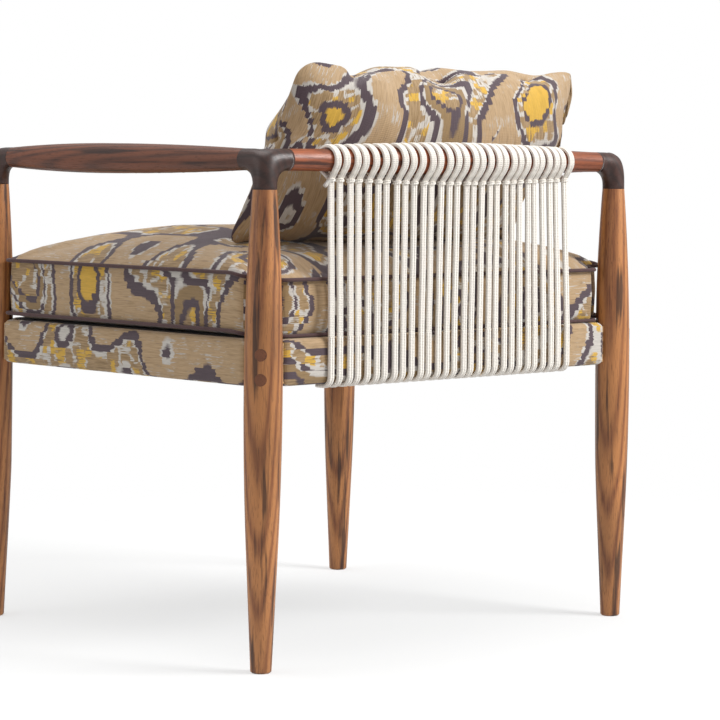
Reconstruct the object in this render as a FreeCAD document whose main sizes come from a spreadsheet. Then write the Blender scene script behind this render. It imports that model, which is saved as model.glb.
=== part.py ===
"""Spindle armchair with an upholstered seat, a loose box cushion, a loose pillow and a corded back.

Millimetres, +Z up. The chair faces -Y and the sitter's left is +X. The origin is on the floor, under the
centre of the whole chair's outline. Every driving size is a cell of the sheet "sizes", and the words in
quotes below are formulas of those cells.
"""
import FreeCAD, Part
import math
import os
import re
import Sketcher

Vector = FreeCAD.Vector
Rotation = FreeCAD.Rotation
Placement = FreeCAD.Placement
UP = Vector(0, 0, 1)

SIZES = {
    # frame: spacing of the leg axes, and the turned legs
    "leg_spread_x": 637.6,
    "leg_spread_y": 548.0,
    "leg_length": 585.0,
    "leg_neck_dia": 30.0,
    "leg_belly_dia": 47.5,
    "leg_belly_height": 340.0,
    "leg_taper_dia": 39.3,
    "leg_taper_height": 150.0,
    "leg_foot_dia": 26.0,
    "leg_foot_edge": 2.0,
    "flat_depth": 2.35,
    "bolt_angle": 40.0,
    # dark corner joints, arms and back rail
    "joint_rise": 36.5,
    "limb_dia": 27.0,
    "joint_hollow": 19.0,
    "joint_reach_front": 36.0,
    "joint_reach_rear": 37.0,
    "arm_belly_dia": 39.0,
    "arm_belly_lead": 45.0,
    "rail_belly_dia": 37.0,
    "rail_bow": 12.0,
    "dowel_dia": 12.0,
    "dowel_length": 50.0,
    "glue_gap": 0.1,
    # bolts that tie each leg to the seat frame
    "bolt_low_rise": 11.0,
    "bolt_high_drop": 17.0,
    "bolt_dia": 6.0,
    "bolt_head_dia": 10.0,
    "bolt_head_height": 6.0,
    "bolt_seat": 6.0,
    "bolt_end": 6.0,
    "plug_dia": 15.0,
    "washer_dia": 12.5,
    "washer_thick": 1.6,
    "nut_width": 10.0,
    "nut_height": 5.0,
    # seat frame and its covering
    "apron_bottom": 345.0,
    "apron_height": 58.0,
    "apron_out": 10.0,
    "cover_thick": 4.0,
    "cover_lip": 14.0,
    "rail_thick": 22.0,
    "leg_clearance": 1.5,
    "block_depth": 62.0,
    "block_nose": 9.0,
    "screw_dia": 4.0,
    "screw_head_dia": 8.0,
    "screw_head_height": 3.0,
    "screw_length": 27.0,
    "screw_seat": 24.0,
    "screw_aside_x": 54.0,
    "screw_aside_y": 62.0,
    "webbing_width": 50.0,
    "webbing_thick": 1.2,
    "deck_thick": 2.5,
    "dust_thick": 1.0,
    # loose cushion and pillow
    "rest_gap": 0.3,
    "seat_out": 7.0,
    "seat_back_out": -3.0,
    "notch_clearance": 6.25,
    "belly_depth": 9.0,
    "seat_side_height": 71.0,
    "shoulder_rise": 25.4,
    "crown_rise": 41.0,
    "belly_inset": 30.0,
    "shoulder_inset": 42.0,
    "shoulder_inset_back": 110.0,
    "crown_inset": 130.0,
    "crown_inset_back": 197.0,
    "piping_dia": 5.0,
    "pillow_width": 490.0,
    "pillow_height": 254.0,
    "pillow_thick": 146.0,
    "pillow_side": -12.0,
    "pillow_foot_back": 148.0,
    "pillow_gap": 0.3,
    "pillow_foot_drop": 9.0,
    # cords
    "cord_dia": 4.4,
    "cord_pitch": 15.2,
    "cord_wander": 1.3,
    "cord_first": 215.0,
    "cord_fan": 4.0,
    "cord_gap": 0.2,
    "knot_drop": 3.0,
    "knot_width": 10.4,
    "knot_height": 4.6,
    "knot_back": 4.0,
    "tail_length": 16.0,
}
CORD_PAIRS = 29
WEBS_ACROSS = 5
WEBS_ALONG = 6

document = FreeCAD.newDocument("armchair")
sheet = document.addObject("Spreadsheet::Sheet", "sizes")
for row, (word, amount) in enumerate(SIZES.items(), start=1):
    sheet.set(f"A{row}", word)
    sheet.set(f"B{row}", str(amount))
    sheet.setAlias(f"B{row}", word)
document.recompute()

# The outline reaches forward to the front legs and back to the cord on the bowed rail.
CENTRING = "((leg_belly_dia/2 - rail_bow - rail_belly_dia/2 - cord_dia)/2)"
SIDE = "(leg_spread_x/2)"
REAR = f"(leg_spread_y/2 + {CENTRING})"
FRONT = f"(-leg_spread_y/2 + {CENTRING})"
SOCKET_DIA = "(dowel_dia + 2*glue_gap)"
SOCKET_DEPTH = "(dowel_length/2 + glue_gap)"
ARM_HEIGHT = "(leg_length + joint_rise)"
APRON_TOP = "(apron_bottom + apron_height)"
BOARD_TOP = f"({APRON_TOP} - deck_thick - 2*webbing_thick)"
BOARD_BOTTOM = "(apron_bottom + cover_thick)"
BOARD_FACE = "(apron_out - cover_thick)"
BOARD_INNER = f"(rail_thick - {BOARD_FACE})"
BOARD_END = "(leg_belly_dia/2 + leg_clearance)"
LEG_FLAT = "(leg_belly_dia/2 - flat_depth)"
BOLT_LOW = "(apron_bottom + bolt_low_rise)"
BOLT_HIGH = f"({APRON_TOP} - bolt_high_drop)"
SCREW_HEIGHT = f"(({BOLT_LOW} + {BOLT_HIGH})/2)"
# The rail's loft strays from its law of swell by a share of the swell, so the turns need more room.
TURN_PLAY = "(cord_gap/4 + 0.015*(rail_belly_dia - limb_dia))"
SEAT_NOTCH = "(leg_belly_dia/2 + notch_clearance)"
SEAM_LOW = f"({APRON_TOP} + belly_depth)"
SEAM_HIGH = f"({SEAM_LOW} + seat_side_height)"
SEAT_CROWN = f"({SEAM_HIGH} + crown_rise)"

CORNERS = {
    "rear_left": (1, 1),
    "rear_right": (-1, 1),
    "front_left": (1, -1),
    "front_right": (-1, -1),
}

nodes = {}


def linked(formula):
    """The formula with each size written as a reference to its cell."""
    return re.sub(r"[a-z]\w*", lambda word: cell_reference(word.group()), formula)


def cell_reference(word):
    return f"sizes.{word}" if word in SIZES else word


def amount_of(formula):
    """The present value of a formula without functions, for first placing of sketch geometry."""
    numbers = re.sub(r"[a-z]\w*", lambda word: repr(float(sheet.get(word.group()))), formula)
    return FreeCAD.Units.Quantity(numbers).Value


def bind(thing, **formulas):
    """Bind properties to formulas; a double underscore stands for a dot."""
    for name, formula in formulas.items():
        thing.setExpression(name.replace("__", "."), linked(str(formula)))


def place(thing, x="0", y="0", z="0", turn=None):
    if turn is not None:
        thing.Placement = Placement(Vector(0, 0, 0), turn)
    bind(thing, Placement__Base__x=x, Placement__Base__y=y, Placement__Base__z=z)


def add(kind, name):
    return document.addObject(kind, name)


def node(thing, label):
    """Register a finished sub-part under the name of its file."""
    thing.Label = label
    nodes[label] = thing
    return thing


def cylinder(name, diameter, height, x="0", y="0", z="0", turn=None):
    thing = add("Part::Cylinder", name)
    bind(thing, Radius=f"({diameter})/2", Height=height)
    place(thing, x, y, z, turn)
    return thing


def box(name, length, width, height, x="0", y="0", z="0", turn=None):
    thing = add("Part::Box", name)
    bind(thing, Length=length, Width=width, Height=height)
    place(thing, x, y, z, turn)
    return thing


def cut(name, base, tools):
    """The base with every tool taken out of it."""
    thing = add("Part::Cut", name)
    thing.Base = base
    thing.Tool = tools[0] if len(tools) == 1 else group(name + "_tools", tools)
    return thing


def group(name, members):
    thing = add("Part::Compound", name)
    thing.Links = members
    return thing


def origin_plane(body, role):
    return next(item for item in body.Origin.OriginFeatures if item.Role == role)


def new_sketch(body, name, role="XY_Plane", height=None):
    """A sketch on one of the body's own origin planes, raised along the plane's normal by a formula."""
    sketch = body.newObject("Sketcher::SketchObject", name)
    sketch.AttachmentSupport = [(origin_plane(body, role), "")]
    sketch.MapMode = "FlatFace"
    if height is not None:
        bind(sketch, AttachmentOffset__Base__z=height)
    return sketch


def pin_point(sketch, name, place_of, x, y):
    """Hold a sketch point at the formulas x and y."""
    for axis, kind, formula in (("x", "DistanceX", x), ("y", "DistanceY", y)):
        number = sketch.addConstraint(Sketcher.Constraint(kind, -1, 1, *place_of, amount_of(formula)))
        sketch.renameConstraint(number, f"{name}_{axis}")
        sketch.setExpression(f"Constraints.{name}_{axis}", linked(formula))


def draw_outline(sketch, corners, arcs=None):
    """A closed outline through corners given as formulas. arcs maps the index of an edge to the formula of
    its centre's y, so that the edge is an arc that runs upright at that height."""
    arcs = arcs or {}
    points = [Vector(amount_of(x), amount_of(y), 0) for x, y in corners]
    ends = []
    for index, start in enumerate(points):
        stop = points[(index + 1) % len(points)]
        if index in arcs:
            ends.append(draw_upright_arc(sketch, start, stop, arcs[index]))
        else:
            edge = sketch.addGeometry(Part.LineSegment(start, stop), False)
            ends.append((edge, 1, 2))
    for index, (edge, _, last) in enumerate(ends):
        following, first, _ = ends[(index + 1) % len(ends)]
        sketch.addConstraint(Sketcher.Constraint("Coincident", edge, last, following, first))
    for index, (x, y) in enumerate(corners):
        pin_point(sketch, f"corner_{index}", (ends[index][0], ends[index][1]), x, y)


def draw_upright_arc(sketch, start, stop, centre_formula):
    """An arc from start to stop whose centre is level with centre_formula; both lie right of the centre."""
    level = amount_of(centre_formula)
    rise = (start.x ** 2 - stop.x ** 2) + (start.y - level) ** 2 - (stop.y - level) ** 2
    centre = Vector(rise / (2 * (start.x - stop.x)), level, 0)
    radius = (start - centre).Length
    low, high = sorted((start, stop), key=lambda point: point.y)
    angles = [math.atan2(point.y - centre.y, point.x - centre.x) for point in (low, high)]
    circle = Part.Circle(centre, UP, radius)
    edge = sketch.addGeometry(Part.ArcOfCircle(circle, *angles), False)
    number = sketch.addConstraint(Sketcher.Constraint("DistanceY", -1, 1, edge, 3, level))
    sketch.renameConstraint(number, f"centre_{edge}")
    sketch.setExpression(f"Constraints.centre_{edge}", linked(centre_formula))
    return (edge, 1, 2) if start is low else (edge, 2, 1)


def draw_circle(sketch, name, x, y, diameter):
    centre = Vector(amount_of(x), amount_of(y), 0)
    edge = sketch.addGeometry(Part.Circle(centre, UP, amount_of(diameter) / 2), False)
    pin_point(sketch, name, (edge, 3), x, y)
    number = sketch.addConstraint(Sketcher.Constraint("Diameter", edge, amount_of(diameter)))
    sketch.renameConstraint(number, f"{name}_dia")
    sketch.setExpression(f"Constraints.{name}_dia", linked(diameter))


def revolve(body, sketch):
    """Turn a profile drawn on the XZ plane about the sketch's vertical axis."""
    feature = body.newObject("PartDesign::Revolution", "Turned")
    feature.Profile = sketch
    feature.ReferenceAxis = (sketch, ["V_Axis"])
    feature.Angle = 360
    sketch.Visibility = False
    return feature


def pocket(body, sketch, name, depth, reverse=False, midplane=False):
    feature = body.newObject("PartDesign::Pocket", name)
    feature.Profile = sketch
    feature.Midplane = midplane
    feature.Reversed = reverse
    bind(feature, Length=depth)
    return feature


def pad(body, sketch, name, depth):
    feature = body.newObject("PartDesign::Pad", name)
    feature.Profile = sketch
    bind(feature, Length=depth)
    return feature


def corner_x(side):
    return SIDE if side > 0 else f"(-{SIDE})"


def corner_y(end):
    return REAR if end > 0 else FRONT


def outward_turn(side, end):
    """Turn local +X to the corner's outward diagonal, the line of its bolts."""
    angle = amount_of("bolt_angle")
    diagonal = {(1, 1): angle, (-1, 1): 180 - angle, (1, -1): -angle, (-1, -1): 180 + angle}[(side, end)]
    return Rotation(UP, diagonal)


# ---------------------------------------------------------------- turned wood


def build_leg(corner, side, end):
    """A turned leg: its flat lies against the seat frame, and two counterbored bolts pass through it."""
    body = add("PartDesign::Body", "leg_" + corner)
    profile = new_sketch(body, "LegProfile", "XZ_Plane")
    corners = [
        ("0", "0"),
        ("leg_foot_dia/2 - leg_foot_edge", "0"),
        ("leg_foot_dia/2", "leg_foot_edge"),
        ("leg_taper_dia/2", "leg_taper_height"),
        ("leg_belly_dia/2", "leg_belly_height"),
        ("leg_neck_dia/2", "leg_length"),
        (f"{SOCKET_DIA}/2", "leg_length"),
        (f"{SOCKET_DIA}/2", f"leg_length - {SOCKET_DEPTH}"),
        ("0", f"leg_length - {SOCKET_DEPTH}"),
    ]
    draw_outline(profile, corners, arcs={3: "leg_belly_height", 4: "leg_belly_height"})
    revolve(body, profile)

    flat = new_sketch(body, "FlatOutline", "XZ_Plane")
    draw_outline(flat, [
        ("-leg_belly_dia", "leg_foot_edge"),
        (f"-{LEG_FLAT}", "leg_foot_edge"),
        (f"-{LEG_FLAT}", "leg_length"),
        ("-leg_belly_dia", "leg_length"),
    ])
    pocket(body, flat, "InnerFlat", "2*leg_belly_dia", midplane=True)

    shank = new_sketch(body, "BoltHoles", "YZ_Plane")
    recess = new_sketch(body, "PlugRecesses", "YZ_Plane", "bolt_seat")
    for name, level in (("bolt_low", BOLT_LOW), ("bolt_high", BOLT_HIGH)):
        draw_circle(shank, name, "0", level, "bolt_dia + 2*glue_gap")
        draw_circle(recess, name, "0", level, "plug_dia + 2*glue_gap")
    pocket(body, shank, "BoltHole", "2*leg_belly_dia", midplane=True)
    pocket(body, recess, "PlugRecess", "leg_belly_dia", reverse=True)
    place(body, corner_x(side), corner_y(end), "0", outward_turn(side, end))
    return node(body, "leg_" + corner)


def build_arm(name, side):
    """A turned arm between the front and rear joints, fattest a little forward of its middle."""
    length = "(leg_spread_y - joint_reach_front - joint_reach_rear)"
    belly = f"({length}/2 - arm_belly_lead)"
    body = add("PartDesign::Body", name)
    profile = new_sketch(body, "ArmProfile", "XZ_Plane")
    corners = [
        ("0", SOCKET_DEPTH),
        (f"{SOCKET_DIA}/2", SOCKET_DEPTH),
        (f"{SOCKET_DIA}/2", "0"),
        ("limb_dia/2", "0"),
        ("arm_belly_dia/2", belly),
        ("limb_dia/2", length),
        (f"{SOCKET_DIA}/2", length),
        (f"{SOCKET_DIA}/2", f"{length} - {SOCKET_DEPTH}"),
        ("0", f"{length} - {SOCKET_DEPTH}"),
    ]
    draw_outline(profile, corners, arcs={3: belly, 4: belly})
    revolve(body, profile)
    lying_back = Rotation(Vector(1, 0, 0), -90)
    place(body, corner_x(side), f"{FRONT} + joint_reach_front", ARM_HEIGHT, lying_back)
    return node(body, name)


RAIL_STATIONS = (-1.0, -0.82, -0.6, -0.35, 0.0, 0.35, 0.6, 0.82, 1.0)


def rail_swell(station):
    """How much of the rail's bow and belly is reached at a station from -1 to 1 along it."""
    return math.cos(station * math.pi / 2) ** 2


def build_back_rail():
    """A rail that swells and bows back towards its middle, lofted through round sections."""
    half = f"({SIDE} - joint_reach_rear)"
    sections = []
    for station in RAIL_STATIONS:
        swell = rail_swell(station)
        ring = add("Part::Circle", "RailSection")
        bind(ring, Radius=f"(limb_dia + (rail_belly_dia - limb_dia)*{swell:.4f})/2")
        across = Rotation(Vector(0, 1, 0), 90)
        place(ring, f"{half}*({station})", f"{REAR} + rail_bow*{swell:.4f}", ARM_HEIGHT, across)
        sections.append(ring)
    form = loft("RailForm", sections)
    bores = []
    for side in (-1, 1):
        start = f"{half} - {SOCKET_DEPTH}" if side > 0 else f"-{half} - 1"
        bores.append(cylinder("RailSocket", SOCKET_DIA, f"{SOCKET_DEPTH} + 1", start, REAR, ARM_HEIGHT,
                              Rotation(Vector(0, 1, 0), 90)))
    return node(cut("BackRail", form, bores), "back_rail")


def loft(name, sections):
    thing = add("Part::Loft", name)
    thing.Sections = sections
    thing.Solid = True
    thing.Ruled = False
    return thing


# ---------------------------------------------------------------- dark corner joints

FAN_ANGLES = (0.0, 22.5, 45.0, 67.5, 90.0)


def build_elbow(name, reach):
    """The limb that turns from the leg's top into the arm, lying in the YZ plane and reaching to -Y. Its
    sections fan out about the hollow under the arm, and its outside is a square corner well rounded."""
    down = "(leg_neck_dia + joint_hollow)"
    across = "(limb_dia + joint_hollow)"
    fan_y = "(-leg_neck_dia/2 - joint_hollow)"
    fan_z = f"({ARM_HEIGHT} - limb_dia/2 - joint_hollow)"
    sections = [elbow_end(name, "leg_neck_dia", "0", "leg_length", Rotation())]
    for angle in FAN_ANGLES:
        along = math.cos(math.radians(angle))
        rising = math.sin(math.radians(angle))
        outer = f"(pow({along:.5f}/{down}; 4) + pow({rising:.5f}/{across}; 4))^(-0.25)"
        width = f"((leg_neck_dia + (limb_dia - leg_neck_dia)*{rising ** 2:.5f})/2)"
        middle = f"(({outer} + joint_hollow)/2)"
        ring = add("Part::Ellipse", name + "Section")
        bind(ring, MinorRadius=width, MajorRadius=f"max(({outer} - joint_hollow)/2; {width})")
        outward = Vector(0, along, rising)
        facing = Rotation(outward, Vector(1, 0, 0), outward.cross(Vector(1, 0, 0)), "XYZ")
        place(ring, "0", f"{fan_y} + {middle}*{along:.5f}", f"{fan_z} + {middle}*{rising:.5f}", facing)
        sections.append(ring)
    sections.append(elbow_end(name, "limb_dia", f"-{reach}", ARM_HEIGHT, Rotation(Vector(1, 0, 0), 90)))
    return loft(name, sections)


def elbow_end(name, diameter, y, z, turn):
    ring = add("Part::Circle", name + "End")
    bind(ring, Radius=f"{diameter}/2")
    place(ring, "0", y, z, turn)
    return ring


def leg_socket(name):
    return cylinder(name, SOCKET_DIA, f"{SOCKET_DEPTH} + 1", z="leg_length - 1")


def limb_socket(name, reach, turn):
    """A dowel socket in the limb that reaches along local -Y before the turn about the leg's axis."""
    bore = cylinder(name, SOCKET_DIA, f"{SOCKET_DEPTH} + 1")
    bore.Placement = Placement(Vector(0, 0, 0), turn * Rotation(Vector(1, 0, 0), -90))
    inward = turn.multVec(Vector(0, -1, 0))
    bind(bore, Placement__Base__x=f"({reach} + 1)*{inward.x:.0f}",
         Placement__Base__y=f"({reach} + 1)*{inward.y:.0f}", Placement__Base__z=ARM_HEIGHT)
    return bore


def build_front_joints():
    elbow = build_elbow("FrontElbow", "joint_reach_front")
    tools = [leg_socket("FrontLegSocket"), limb_socket("FrontArmSocket", "joint_reach_front", Rotation())]
    for corner in ("front_left", "front_right"):
        side, end = CORNERS[corner]
        joint = cut("corner_joint_" + corner, elbow, tools)
        place(joint, corner_x(side), corner_y(end), "0", Rotation(UP, 180))
        node(joint, "corner_joint_" + corner)


def build_rear_joints():
    """One elbow runs to the arm and its mirror image to the rail; they meet on the diagonal plane."""
    elbow = build_elbow("RearElbow", "joint_reach_rear")
    reach = "(2*joint_reach_rear)"
    diagonal = Rotation(UP, -45)
    keep = box("ArmHalf", reach, f"2*{reach}", ARM_HEIGHT, f"-{reach}*0.70711", f"-{reach}*0.70711",
               f"{ARM_HEIGHT}/2", diagonal)
    half = add("Part::Common", "ArmHalfElbow")
    half.Base = elbow
    half.Tool = keep
    other = add("Part::Mirroring", "RailHalfElbow")
    other.Source = half
    other.Normal = Vector(1, -1, 0)
    form = add("Part::Fuse", "RearJointForm")
    form.Base = half
    form.Tool = other
    tools = [leg_socket("RearLegSocket"), limb_socket("RearArmSocket", "joint_reach_rear", Rotation()),
             limb_socket("RearRailSocket", "joint_reach_rear", Rotation(UP, -90))]
    for corner, turn in (("rear_left", Rotation()), ("rear_right", Rotation(UP, 90))):
        side, end = CORNERS[corner]
        joint = cut("corner_joint_" + corner, form, tools)
        place(joint, corner_x(side), corner_y(end), "0", turn)
        node(joint, "corner_joint_" + corner)


def build_dowels():
    """Plain dowels across each glued seam: leg to joint, arm to joint and rail to joint."""
    legs = []
    arms = []
    rails = []
    for side, end in CORNERS.values():
        legs.append(cylinder("LegDowel", "dowel_dia", "dowel_length", corner_x(side), corner_y(end),
                             "leg_length - dowel_length/2"))
        seam = f"{FRONT} + joint_reach_front" if end < 0 else f"{REAR} - joint_reach_rear"
        arms.append(cylinder("ArmDowel", "dowel_dia", "dowel_length", corner_x(side),
                             f"{seam} - dowel_length/2", ARM_HEIGHT, Rotation(Vector(1, 0, 0), -90)))
    for side in (-1, 1):
        seam = f"{side}*({SIDE} - joint_reach_rear)"
        rails.append(cylinder("RailDowel", "dowel_dia", "dowel_length", f"{seam} - dowel_length/2", REAR,
                              ARM_HEIGHT, Rotation(Vector(0, 1, 0), 90)))
    node(group("LegDowels", legs), "leg_dowels")
    node(group("ArmDowels", arms), "arm_dowels")
    node(group("RailDowels", rails), "rail_dowels")


# ---------------------------------------------------------------- seat frame


def screw_lines(side, end):
    """The two screws of a corner block: (x, y, turn) of each line where it meets the head's seat."""
    x = corner_x(side)
    y = corner_y(end)
    into_end_board = (f"{x} - {side}*screw_aside_x", f"{y} - {end}*screw_seat",
                      Rotation(Vector(1, 0, 0), -90 * end))
    into_side_board = (f"{x} - {side}*screw_seat", f"{y} - {end}*screw_aside_y",
                       Rotation(Vector(0, 1, 0), 90 * side))
    return into_end_board, into_side_board


def screw_piece(name, line, diameter, start, length):
    """A cylinder on a screw's line, from a formula start behind the seat (negative) on towards the tip."""
    x, y, turn = line
    way = turn.multVec(UP)
    thing = add("Part::Cylinder", name)
    bind(thing, Radius=f"({diameter})/2", Height=length)
    place(thing, f"{x} + ({start})*{way.x:.0f}", f"{y} + ({start})*{way.y:.0f}", SCREW_HEIGHT, turn)
    return thing


def build_screw(line):
    screw = add("Part::Fuse", "Screw")
    screw.Base = screw_piece("ScrewShank", line, "screw_dia", "-0.5", "screw_length + 0.5")
    screw.Tool = screw_piece("ScrewHead", line, "screw_head_dia", "-screw_head_height", "screw_head_height")
    return screw


def build_seat_frame():
    """Four boards round the seat, four corner blocks behind the legs, and the screws between them."""
    holes = {"front": [], "rear": [], "left": [], "right": []}
    screws = []
    for corner, (side, end) in CORNERS.items():
        block_holes = []
        boards = ("rear" if end > 0 else "front", "left" if side > 0 else "right")
        for board, line in zip(boards, screw_lines(side, end)):
            screws.append(build_screw(line))
            bore = screw_piece("ScrewHole", line, "screw_dia + 2*glue_gap", "-1", "screw_length + 2")
            recess = screw_piece("ScrewRecess", line, "screw_head_dia + 2*glue_gap", "-block_depth",
                                 "block_depth")
            block_holes.extend([bore, recess])
            holes[board].append(bore)
        build_corner_block(corner, side, end, block_holes)
    node(group("BlockScrews", screws), "corner_block_screws")

    height = f"{BOARD_TOP} - {BOARD_BOTTOM}"
    across = f"leg_spread_x - 2*{BOARD_END}"
    along = f"leg_spread_y - 2*{BOARD_END}"
    for name, end in (("front", -1), ("rear", 1)):
        y = f"{REAR} - {BOARD_INNER}" if end > 0 else f"{FRONT} - {BOARD_FACE}"
        board = box("Board", across, "rail_thick", height, f"-{SIDE} + {BOARD_END}", y, BOARD_BOTTOM)
        node(cut("seat_rail_" + name, board, holes[name]), "seat_rail_" + name)
    for name, side in (("left", 1), ("right", -1)):
        x = f"{SIDE} - {BOARD_INNER}" if side > 0 else f"-{SIDE} - {BOARD_FACE}"
        board = box("Board", "rail_thick", along, height, x, f"{FRONT} + {BOARD_END}", BOARD_BOTTOM)
        node(cut("seat_rail_" + name, board, holes[name]), "seat_rail_" + name)


def build_corner_block(corner, side, end, screw_holes):
    """A block whose nose sits on the leg's flat and whose arms lie against two boards. It is drawn in the
    corner's own axes, with the leg at the origin and the seat towards -X and -Y."""
    body = add("PartDesign::Body", "BlockBody_" + corner)
    outline = new_sketch(body, "BlockOutline")
    angle = math.radians(amount_of("bolt_angle"))
    along = f"{math.cos(angle):.6f}"
    aside = f"{math.sin(angle):.6f}"
    first = (f"{LEG_FLAT}*{along} + block_nose*{aside}", f"{LEG_FLAT}*{aside} - block_nose*{along}")
    last = (f"{LEG_FLAT}*{along} - block_nose*{aside}", f"{LEG_FLAT}*{aside} + block_nose*{along}")
    board_end = f"{BOARD_END} - glue_gap"
    inward = [
        first,
        (board_end, first[1]),
        (board_end, BOARD_INNER),
        (f"(block_depth - {BOARD_INNER}*{aside})/{along}", BOARD_INNER),
        (BOARD_INNER, f"(block_depth - {BOARD_INNER}*{along})/{aside}"),
        (BOARD_INNER, board_end),
        (last[0], board_end),
        last,
    ]
    draw_outline(outline, [(f"-{side}*({x})", f"-{end}*({y})") for x, y in inward])
    pad(body, outline, "Block", f"{BOARD_TOP} - {BOARD_BOTTOM}")
    place(body, corner_x(side), corner_y(end), BOARD_BOTTOM)
    bolt_holes = []
    for level in (BOLT_LOW, BOLT_HIGH):
        bolt_holes.append(bolt_cylinder("BlockBoltHole", side, end, level, "bolt_dia + 2*glue_gap",
                                        "-2*block_depth", "2*block_depth"))
    block = cut("corner_block_" + corner, body, bolt_holes + screw_holes)
    node(block, "corner_block_" + corner)


def diagonal_of(side, end):
    return outward_turn(side, end).multVec(Vector(1, 0, 0))


def bolt_cylinder(name, side, end, level, diameter, start, length):
    """A cylinder on a bolt's line; start is measured outward along the diagonal from the leg's axis."""
    way = diagonal_of(side, end)
    thing = add("Part::Cylinder", name)
    bind(thing, Radius=f"({diameter})/2", Height=length)
    seat_on_diagonal(thing, side, end, level, start, way)
    return thing


def seat_on_diagonal(thing, side, end, level, start, way):
    turn = outward_turn(side, end) * Rotation(Vector(0, 1, 0), 90)
    place(thing, f"{corner_x(side)} + ({start})*{way.x:.6f}", f"{corner_y(end)} + ({start})*{way.y:.6f}",
          level, turn)


def build_bolts():
    """Two bolts per leg: head in the plugged recess, washer and nut behind the corner block."""
    bolts = []
    washers = []
    nuts = []
    plugs = []
    for side, end in CORNERS.values():
        for level in (BOLT_LOW, BOLT_HIGH):
            head = bolt_cylinder("BoltHead", side, end, level, "bolt_head_dia", "bolt_seat",
                                 "bolt_head_height")
            tail = "block_depth + washer_thick + nut_height + bolt_end"
            shank = bolt_cylinder("BoltShank", side, end, level, "bolt_dia", f"-({tail})",
                                  f"{tail} + bolt_seat + 0.5")
            bolt = add("Part::Fuse", "Bolt")
            bolt.Base = head
            bolt.Tool = shank
            bolts.append(bolt)
            disc = bolt_cylinder("WasherDisc", side, end, level, "washer_dia",
                                 "-block_depth - washer_thick", "washer_thick")
            hole = bolt_cylinder("WasherHole", side, end, level, "bolt_dia + 2*glue_gap",
                                 "-block_depth - washer_thick - 1", "washer_thick + 2")
            washers.append(cut("Washer", disc, [hole]))
            nuts.append(build_nut(side, end, level))
            plugs.append(build_plug(side, end, level))
    node(group("LegBolts", bolts), "leg_bolts")
    node(group("BoltWashers", washers), "bolt_washers")
    node(group("BoltNuts", nuts), "bolt_nuts")
    node(group("BoltPlugs", plugs), "bolt_plugs")


def build_nut(side, end, level):
    start = "-block_depth - washer_thick - nut_height"
    prism = add("Part::Prism", "NutBlank")
    prism.Polygon = 6
    bind(prism, Circumradius="nut_width/2/0.86603", Height="nut_height")
    seat_on_diagonal(prism, side, end, level, start, diagonal_of(side, end))
    hole = bolt_cylinder("NutHole", side, end, level, "bolt_dia + 2*glue_gap", f"{start} - 1",
                         "nut_height + 2")
    return cut("Nut", prism, [hole])


def build_plug(side, end, level):
    """A wooden plug trimmed flush with the leg's round side."""
    blank = bolt_cylinder("PlugBlank", side, end, level, "plug_dia", "bolt_seat + bolt_head_height + 0.5",
                          "leg_belly_dia/2")
    column = cylinder("PlugTrim", "leg_belly_dia - 0.3", "leg_length", corner_x(side), corner_y(end))
    plug = add("Part::Common", "Plug")
    plug.Base = blank
    plug.Tool = column
    return plug


# ---------------------------------------------------------------- seat coverings and webbing


def build_covers():
    """Padded fabric skins: each wraps the outside, the top edge and the bottom edge of one board."""
    height = "apron_height"
    across = f"leg_spread_x - 2*{BOARD_END}"
    along = f"leg_spread_y - 2*{BOARD_END}"
    lip_height = f"{BOARD_TOP} - {BOARD_BOTTOM} + 2*glue_gap"
    for name, end in (("front", -1), ("rear", 1)):
        skin_y = f"{REAR} + apron_out - cover_lip" if end > 0 else f"{FRONT} - apron_out"
        core_y = f"{REAR} + apron_out - cover_lip - 1" if end > 0 else f"{FRONT} - {BOARD_FACE}"
        start = f"-{SIDE} + {BOARD_END}"
        skin = box("Skin", across, "cover_lip", height, start, skin_y, "apron_bottom")
        core = box("SkinHollow", f"{across} + 2", "cover_lip - cover_thick + 1", lip_height,
                   f"{start} - 1", core_y, f"{BOARD_BOTTOM} - glue_gap")
        node(cut("seat_cover_" + name, skin, [core]), "seat_cover_" + name)
    for name, side in (("left", 1), ("right", -1)):
        skin_x = f"{SIDE} + apron_out - cover_lip" if side > 0 else f"-{SIDE} - apron_out"
        core_x = f"{SIDE} + apron_out - cover_lip - 1" if side > 0 else f"-{SIDE} - {BOARD_FACE}"
        start = f"{FRONT} + {BOARD_END}"
        skin = box("Skin", "cover_lip", along, height, skin_x, start, "apron_bottom")
        core = box("SkinHollow", "cover_lip - cover_thick + 1", f"{along} + 2", lip_height,
                   core_x, f"{start} - 1", f"{BOARD_BOTTOM} - glue_gap")
        node(cut("seat_cover_" + name, skin, [core]), "seat_cover_" + name)


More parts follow.
